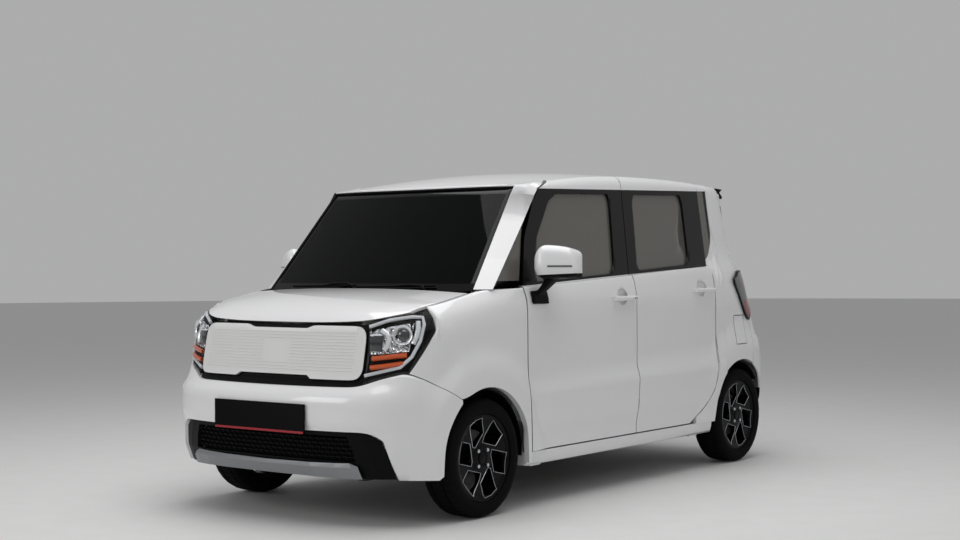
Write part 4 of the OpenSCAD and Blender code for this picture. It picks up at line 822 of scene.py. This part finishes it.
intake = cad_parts["lower_grille"]
dividers = []
for row, z in enumerate((0.308, 0.328, 0.348, 0.368, 0.388)):
    for k in range(-13, 14):
        x = 0.036 * k + (0.018 if row % 2 else 0.0)
        low = from_ahead(intake, x, z + 0.010, 0.003)
        dividers.append([low - Vector((0, 0, 0.008)), low + Vector((0, 0, 0.008))])
dressed(bead("intake_dividers", dividers, 0.0028, sides=1), moulded_black, "shell")
points = [intake.matrix_world @ point.co for point in intake.data.vertices]
seals = []
for side in (1, -1):
    line = [max((spot for spot in points if abs(spot.z - z) < 0.0004), key=lambda spot: side * spot.x + spot.y)
            for z in (0.296, 0.318, 0.338, 0.358, 0.378, 0.398)]
    seals.append(line + [line[-1] * 2 - line[-2] + Vector((0, 0, 0.006))])
dressed(bead("intake_end_seals", seals, 0.005), moulded_black, "shell")
# brushed-look silver moulding: mid grey metal paint, streaked across
skid_silver = grained("skid_plate_silver", "#8f9194", 0.34, scale=300.0, strength=0.15, depth=0.0003, detail=3.0,
                      Metallic=0.75)
dress(skid_silver, "skid_plate")


def slab(name, centre, size, bevel, inset, sink, turn=0.0):
    """A rounded slab whose front, towards -Y, is inset and sunk inside a raised rim."""
    piece = block(name, size)
    chosen(piece)
    bpy.ops.object.mode_set(mode="EDIT")
    bpy.ops.mesh.select_all(action="DESELECT")
    bpy.ops.mesh.select_mode(type="FACE")
    shape = bmesh.from_edit_mesh(piece.data)
    for face in shape.faces:
        face.select_set(face.normal.y < -0.9)
    bmesh.update_edit_mesh(piece.data)
    bpy.ops.mesh.inset(thickness=inset, depth=-sink)
    bpy.ops.object.mode_set(mode="OBJECT")
    applied(piece, "BEVEL", width=bevel, segments=3, limit_method="ANGLE")
    piece.data.transform(Matrix.Translation(centre) @ Matrix.Rotation(turn, 4, "Z"))
    return piece


# stove-enamelled plate: satin black with a faint ripple of the rolled sheet
plate_enamel = grained("stove_enamel", "#020203", 0.4, scale=40.0, strength=0.06, depth=0.0005, detail=2.0,
                       Specular_IOR_Level=0.08)
# red edging strip: glossy printed plastic
red_strip = grained("red_edging_plastic", "#a01522", 0.25, scale=160.0, strength=0.08, depth=0.0002, detail=2.0)
nose = from_ahead(panels["front_bumper"], 0.0, 0.47).y
dressed(slab("front_number_plate", (0, nose - 0.006, 0.488), (0.58, 0.010, 0.135), 0.0025, 0.006, 0.0015), plate_enamel,
        "shell")
dressed(slab("front_plate_edge", (0, nose - 0.0095, 0.427), (0.57, 0.006, 0.010), 0.0015, 0.002, 0.0005), red_strip,
        "shell")


# Door mirrors
# A moulded housing on a foot, black below and body-coloured above, with a slim lamp strip round its front
# and a convex mirror glass held in a bezel at the back.
foot_top, cap_mid = 1.10, 0.888
split_x, split_z, split_climb = 0.80, 1.128, 0.05
for hand, side in hands:
    body = f"front_{hand}_door"
    cap = pressed(f"mirror_{hand}", f"{hand}_mirror_housing", body, levels=0, smooth_at=60.0)
    applied(cap, "REMESH", mode="VOXEL", voxel_size=0.0055)
    applied(cap, "SMOOTH", factor=0.5, iterations=14)
    bpy.ops.object.shade_smooth()
    for point in cap.data.vertices:
        over, out = point.co.z - foot_top, abs(point.co.x) - cap_mid
        if over > 0:
            bulge = 0.50 + 0.50 * sqrt(1 - min(1.0, abs(out) / 0.108) ** 3)
            point.co.z = foot_top + over * (1 + (1.30 * bulge - 1) * min(1.0, over / 0.03))
            point.co.x = copysign(cap_mid + out * 1.10, point.co.x)
    cap.data.materials.append(white_paint)
    scored(cap, ((side * split_x, -0.70, split_z), (-split_climb * side, 0, 1)))
    recolour(cap, moulded_black,
             lambda spot, n: spot.z < split_z + split_climb * (abs(spot.x) - split_x) or n.y > 0.95)
    bpy.context.view_layer.update()
    strip = [from_ahead(cap, side * x, 1.172) for x in (0.878, 0.900, 0.922, 0.944, 0.962, 0.976)]
    dressed(bead(f"{hand}_mirror_lamp_strip", [strip], 0.0042), lens_glass, body)
    glass = slab(f"{hand}_mirror_glass", (side * 0.893, -0.583, 1.166), (0.150, 0.007, 0.092), 0.003, 0.005, 0.0012,
                 pi)
    dressed(glass, chrome, body)


# Tail lamps
# Moulded red acrylic lenses with fine ridges and a clear middle band, welded to black housings
# that wrap the car's rear corners.
def fluted(name, code, scale, way, **sockets):
    """Glossy acrylic with fine flutes that follow one another along one direction."""
    made, tree, shader, place = finish(name, code, 0.08, IOR=1.49, **sockets)
    flute = add(tree, "TexWave", {"Scale": scale}, {"Vector": place}, wave_type="BANDS", bands_direction=way)
    ripple(tree, shader, flute.outputs["Fac"], 0.3, 0.001)
    return made


# red acrylic: deep glossy red over fine ridges
red_lens = fluted("red_acrylic", "#7d0c12", 50.0, "Z", Coat_Weight=0.5)
# smoked clear acrylic over a bright reflector
clear_band = fluted("clear_acrylic_band", "#6d6f70", 45.0, "Y", Metallic=0.4)
rear_lamps = pressed("tail_lamps", "tail_lamp_lenses", "shell")
rear_lamps.data.materials.append(red_lens)
band_low, band_high, band_front = 0.965, 1.045, 1.44
scored(rear_lamps, ((0, 0, band_low), (0, 0, 1)), ((0, 0, band_high), (0, 0, 1)), ((0, band_front, 0), (0, 1, 0)))
recolour(rear_lamps, clear_band, lambda spot, n: band_low < spot.z < band_high or spot.y < band_front)
recolour(rear_lamps, frame_black, lambda spot, n: n.x * copysign(1, spot.x) < 0.2 and n.y < 0.55 or abs(n.z) > 0.6)
bordered(rear_lamps, frame_black, 0.010, lambda spot, n: n.x * copysign(1, spot.x) > 0.3 and abs(n.z) < 0.6)


# Tailgate, spoiler and rear bumper
# The steel gate holds a bonded window and a blank plate between its pull and the bumper; the moulded spoiler
# overhangs the window with a slim stop lamp; the bumper's lower edge is left black, with a reflector each side.
def from_behind(panel, x, z, lift=0.0):
    """Where a line from behind the car meets a panel."""
    return land(panel, (x, 2.4, z), (0, -1, 0), lift)


gate, rear_pane, wing, skirt = (panels[node] for node in ("tailgate", "gate_glass", "spoiler", "rear_bumper"))
pane_low, pane_high, skirt_top = 1.075, 1.530, 0.420
scored(gate, ((0, 0, pane_low), (0, 0, 1)), ((0, 0, pane_high), (0, 0, 1)))
recolour(gate, frame_black, lambda spot, n: pane_low < spot.z < pane_high and n.y > -0.5)
recolour(gate, cabin_grain, lambda spot, n: n.y < -0.5)
recolour(wing, moulded_black, lambda spot, n: n.z < 0.30)
scored(skirt, ((0, 0, skirt_top), (0, 0, 1)))
recolour(skirt, moulded_black, lambda spot, n: spot.z < skirt_top)
bpy.context.view_layer.update()
pull = [from_behind(gate, 0.26 * (k / 8 - 1), 0.955, 0.004) for k in range(17)]
dressed(bead("tailgate_pull", [pull], 0.013, sides=4), silver_trim, "gate")
back_plate = from_behind(gate, 0, 0.872, 0.005)
dressed(slab("rear_number_plate", back_plate, (0.52, 0.008, 0.110), 0.0025, 0.006, 0.0015, pi), plate_enamel,
        "gate")
stop = [from_behind(wing, 0.16 * (k / 8 - 1), 1.612) for k in range(17)]
dressed(bead("high_stop_lamp", [stop], 0.006, sides=3), red_lens, "gate")
for hand, side in hands:
    spots = [from_behind(skirt, side * x, 0.470) for x in (0.50, 0.54, 0.58, 0.62)]
    dressed(bead(f"rear_reflector_{hand}", [spots], 0.011, sides=4), red_lens, "shell")
sweep = [from_behind(rear_pane, *at) for at in ((0.02, 1.125, 0.012), (0.14, 1.150, 0.014), (0.30, 1.185, 0.012))]
blade = [from_behind(rear_pane, 0.08 + 0.035 * k, 1.128 + 0.012 * k, 0.006) for k in range(9)]
dressed(bead("rear_wiper", [sweep, blade], 0.0055), moulded_black, "gate")
boss = [(0.0001, -0.004), (0.020, -0.004), (0.020, 0.012), (0.016, 0.018), (0.0001, 0.019)]
dressed(turned("rear_wiper_boss", boss, from_behind(gate, 0.02, 1.090), (0, 1, 0), 28), moulded_black, "gate")


# Seats
# Foam cushions moulded on steel frames and sewn into charcoal cloth, with stitched channels across;
# the head restraints slide on chromed posts and the frames run on steel rails bolted to the floor.

# woven cloth: charcoal with a heathered thread and a soft sheen, its weave standing in relief
seat_cloth, tree, shader, place = finish("woven_seat_cloth", "#232427", 0.95, Sheen_Weight=0.3, Sheen_Roughness=0.5)
weft, warp = (add(tree, "TexWave", {"Scale": 260.0, "Distortion": 0.6}, {"Vector": place},
                  wave_type="BANDS", bands_direction=way) for way in "XZ")
weave = add(tree, "Math", None, {0: weft.outputs["Fac"], 1: warp.outputs["Fac"]}, operation="MULTIPLY")
toned(tree, shader, noise(tree, place, 600.0, 3.0), "#1c1d20", "#303236")
ripple(tree, shader, weave.outputs[0], 0.5, 0.0008)


def cushion(name, size, place, lean, channels, crown=0.16, fill=0.7, cuts=17):
    """A crowned pad leaning by some degrees: sides drawn in between the corners, sewn channels across the front."""
    piece = block(name, (2, 2, 2))
    edited(piece, (bpy.ops.mesh.subdivide, {"number_cuts": cuts}))
    for point in piece.data.vertices:
        u, v, w = point.co
        corner = 1 - 0.10 * (abs(v) ** 6 + abs(w) ** 6) / 2
        across = u * corner * (1 - 0.05 * (1 - v * v))
        along = v * (1 - 0.08 * abs(u) ** 6 - 0.06 * abs(w) ** 6) * (1 - 0.03 * (1 - u * u))
        deep = w * (1 - crown * max(abs(u), abs(v)) ** 3)
        if w > 0:
            deep -= sum(0.10 * exp(-((v - c) / 0.05) ** 2) for c in channels) * (1 - abs(u) ** 8)
            deep += 0.10 * exp(-((abs(u) - 0.78) / 0.16) ** 2)
        point.co = Vector((across * size[0] / 2, along * size[1] / 2, deep * size[2] / 2))
    applied(piece, "SUBSURF", levels=1, render_levels=1)
    piece.data.transform(Matrix.Translation(place) @ Matrix.Rotation(radians(lean), 4, "X"))
    dressed(piece, seat_cloth, "shell", 60.0)
    return piece


headrest = {"crown": 0.25, "fill": 0.9, "cuts": 9}
posts, rails = [], []
for hand, middle in (("left", 0.340), ("right", -0.340)):
    base = cushion(f"{hand}_seat_cushion", (0.470, 0.520, 0.230), (middle, -0.030, 0.510), 4, (-0.35, 0.15, 0.60))
    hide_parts("front_seats")
    cushion(f"{hand}_seat_back", (0.470, 0.640, 0.130), (middle, 0.300, 0.870), 100, (-0.55, -0.1, 0.35))
    cushion(f"{hand}_head_restraint", (0.240, 0.145, 0.095), (middle, 0.365, 1.288), 95, (), **headrest)
    for step in (-0.060, 0.060):
        posts.append([Vector((middle + step, 0.352, 1.12)), Vector((middle + step, 0.365, 1.27))])
    for step in (-0.170, 0.170):
        rails.append([Vector((middle + step, y, 0.275)) for y in (-0.22, 0.0, 0.21)])
        for y in (-0.18, 0.17):
            rails.append([Vector((middle + step, y, 0.262)), Vector((middle + step, y, 0.42))])
bench = cushion("rear_bench_cushion", (1.120, 0.500, 0.250), (0, 0.865, 0.475), 4, (-0.3, 0.3), 0.14)
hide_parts("rear_seat")
cushion("rear_bench_back", (1.120, 0.600, 0.110), (0, 1.160, 0.810), 98, (-0.45, 0.1, 0.5), 0.14)
for hand, middle in (("left", 0.330), ("right", -0.330)):
    cushion(f"rear_{hand}_head_restraint", (0.240, 0.110, 0.075), (middle, 1.215, 1.197), 95, (), **headrest)
    for step in (-0.060, 0.060):
        posts.append([Vector((middle + step, 1.203, 1.06)), Vector((middle + step, 1.213, 1.18))])
dressed(bead("head_restraint_posts", posts, 0.006, sides=3), chrome, "shell")
for x in (-0.48, -0.16, 0.16, 0.48):
    rails.append([Vector((x, 0.70, 0.262)), Vector((x, 0.72, 0.40))])
dressed(bead("seat_rails", rails, 0.014, sides=1), dipped_steel, "shell")


# Door trim
# Each door's inner side carries a moulded arm rest, a plated pull and a round speaker grille,
# clipped to the moulded trim.
bpy.context.view_layer.update()
speaker = [(0.0001, -0.001), (0.030, 0.004), (0.062, 0.001), (0.066, 0.005), (0.075, 0.005), (0.079, -0.001)]
for node, (name, body, side, _, _, y0, y1) in doors.items():
    trim = panels[node]
    mid = (y0 + y1) / 2 + 0.02
    inner = [land(trim, (0, mid + 0.030 * k, 0.800 + 0.004 * k), (side, 0, 0), 0.012) for k in range(-8, 9)]
    dressed(bead(f"{name}_arm_rest", [inner], 0.026, sides=4), cabin_grain, body)
    pull = [land(trim, (0, mid - 0.16 + 0.022 * k, 0.925), (side, 0, 0), 0.004 + 0.012 * sin(pi * k / 6))
            for k in range(7)]
    dressed(bead(f"{name}_pull", [pull], 0.008, sides=3), silver_trim, body)
    mouth = land(trim, (0, mid - 0.20, 0.470), (side, 0, 0))
    dressed(turned(f"{name}_speaker", speaker, mouth, (-side, 0, 0), 36), moulded_black, body)


# Dashboard and steering wheel
# A moulding across the cabin, with a hooded instrument binnacle, a centre screen and louvred vents;
# the wheel's rim is wrapped in stitched leather over polyurethane.

# stitched leather: near black, pebbled 1.4 mm across, worn to a low shine
wheel_leather = grained("wheel_leather", "#161617", 0.5, scale=700.0, strength=0.35, depth=0.0004)
dress(wheel_leather, "steering_wheel")
# display glass: black mirror with finger smears
screen_black = clouded("display_glass", "#060709", 0.08, 0.06, 0.2, scale=30.0, Coat_Weight=0.6)
dressed(slab("centre_display", (0, -0.525, 1.005), (0.230, 0.022, 0.135), 0.006, 0.006, 0.0015, pi), screen_black,
        "shell")
hood_path = [Vector((0.350 + 0.165 * cos(pi * k / 14), -0.600, 1.000 + 0.085 * sin(pi * k / 14)))
             for k in range(15)]
dressed(bead("instrument_hood", [hood_path], 0.022, sides=4), cabin_grain, "shell")
for name, x in (("left", 0.525), ("inner_left", 0.165), ("inner_right", -0.165), ("right", -0.525)):
    bezel = slab(f"vent_{name}", (x, -0.556, 0.945), (0.095, 0.020, 0.070), 0.006, 0.008, 0.010, pi)
    dressed(bezel, moulded_black, "shell")
    slats = [[Vector((x + end, -0.552, 0.945 + 0.012 * k)) for end in (-0.037, 0.037)] for k in (-2, -1, 0, 1, 2)]
    dressed(bead(f"vent_{name}_slats", slats, 0.0022, sides=1), cabin_grain, "shell")
stalk = on_screen(0.0, 0.86, -0.012)
dressed(slab("cabin_mirror", stalk + Vector((0, 0.045, -0.030)), (0.215, 0.028, 0.062), 0.010, 0.005, 0.0015, pi),
        cabin_grain, "shell")
bend = [stalk, stalk + Vector((0, 0.025, -0.012)), stalk + Vector((0, 0.040, -0.028))]
dressed(bead("cabin_mirror_stalk", [bend], 0.008), moulded_black, "shell")
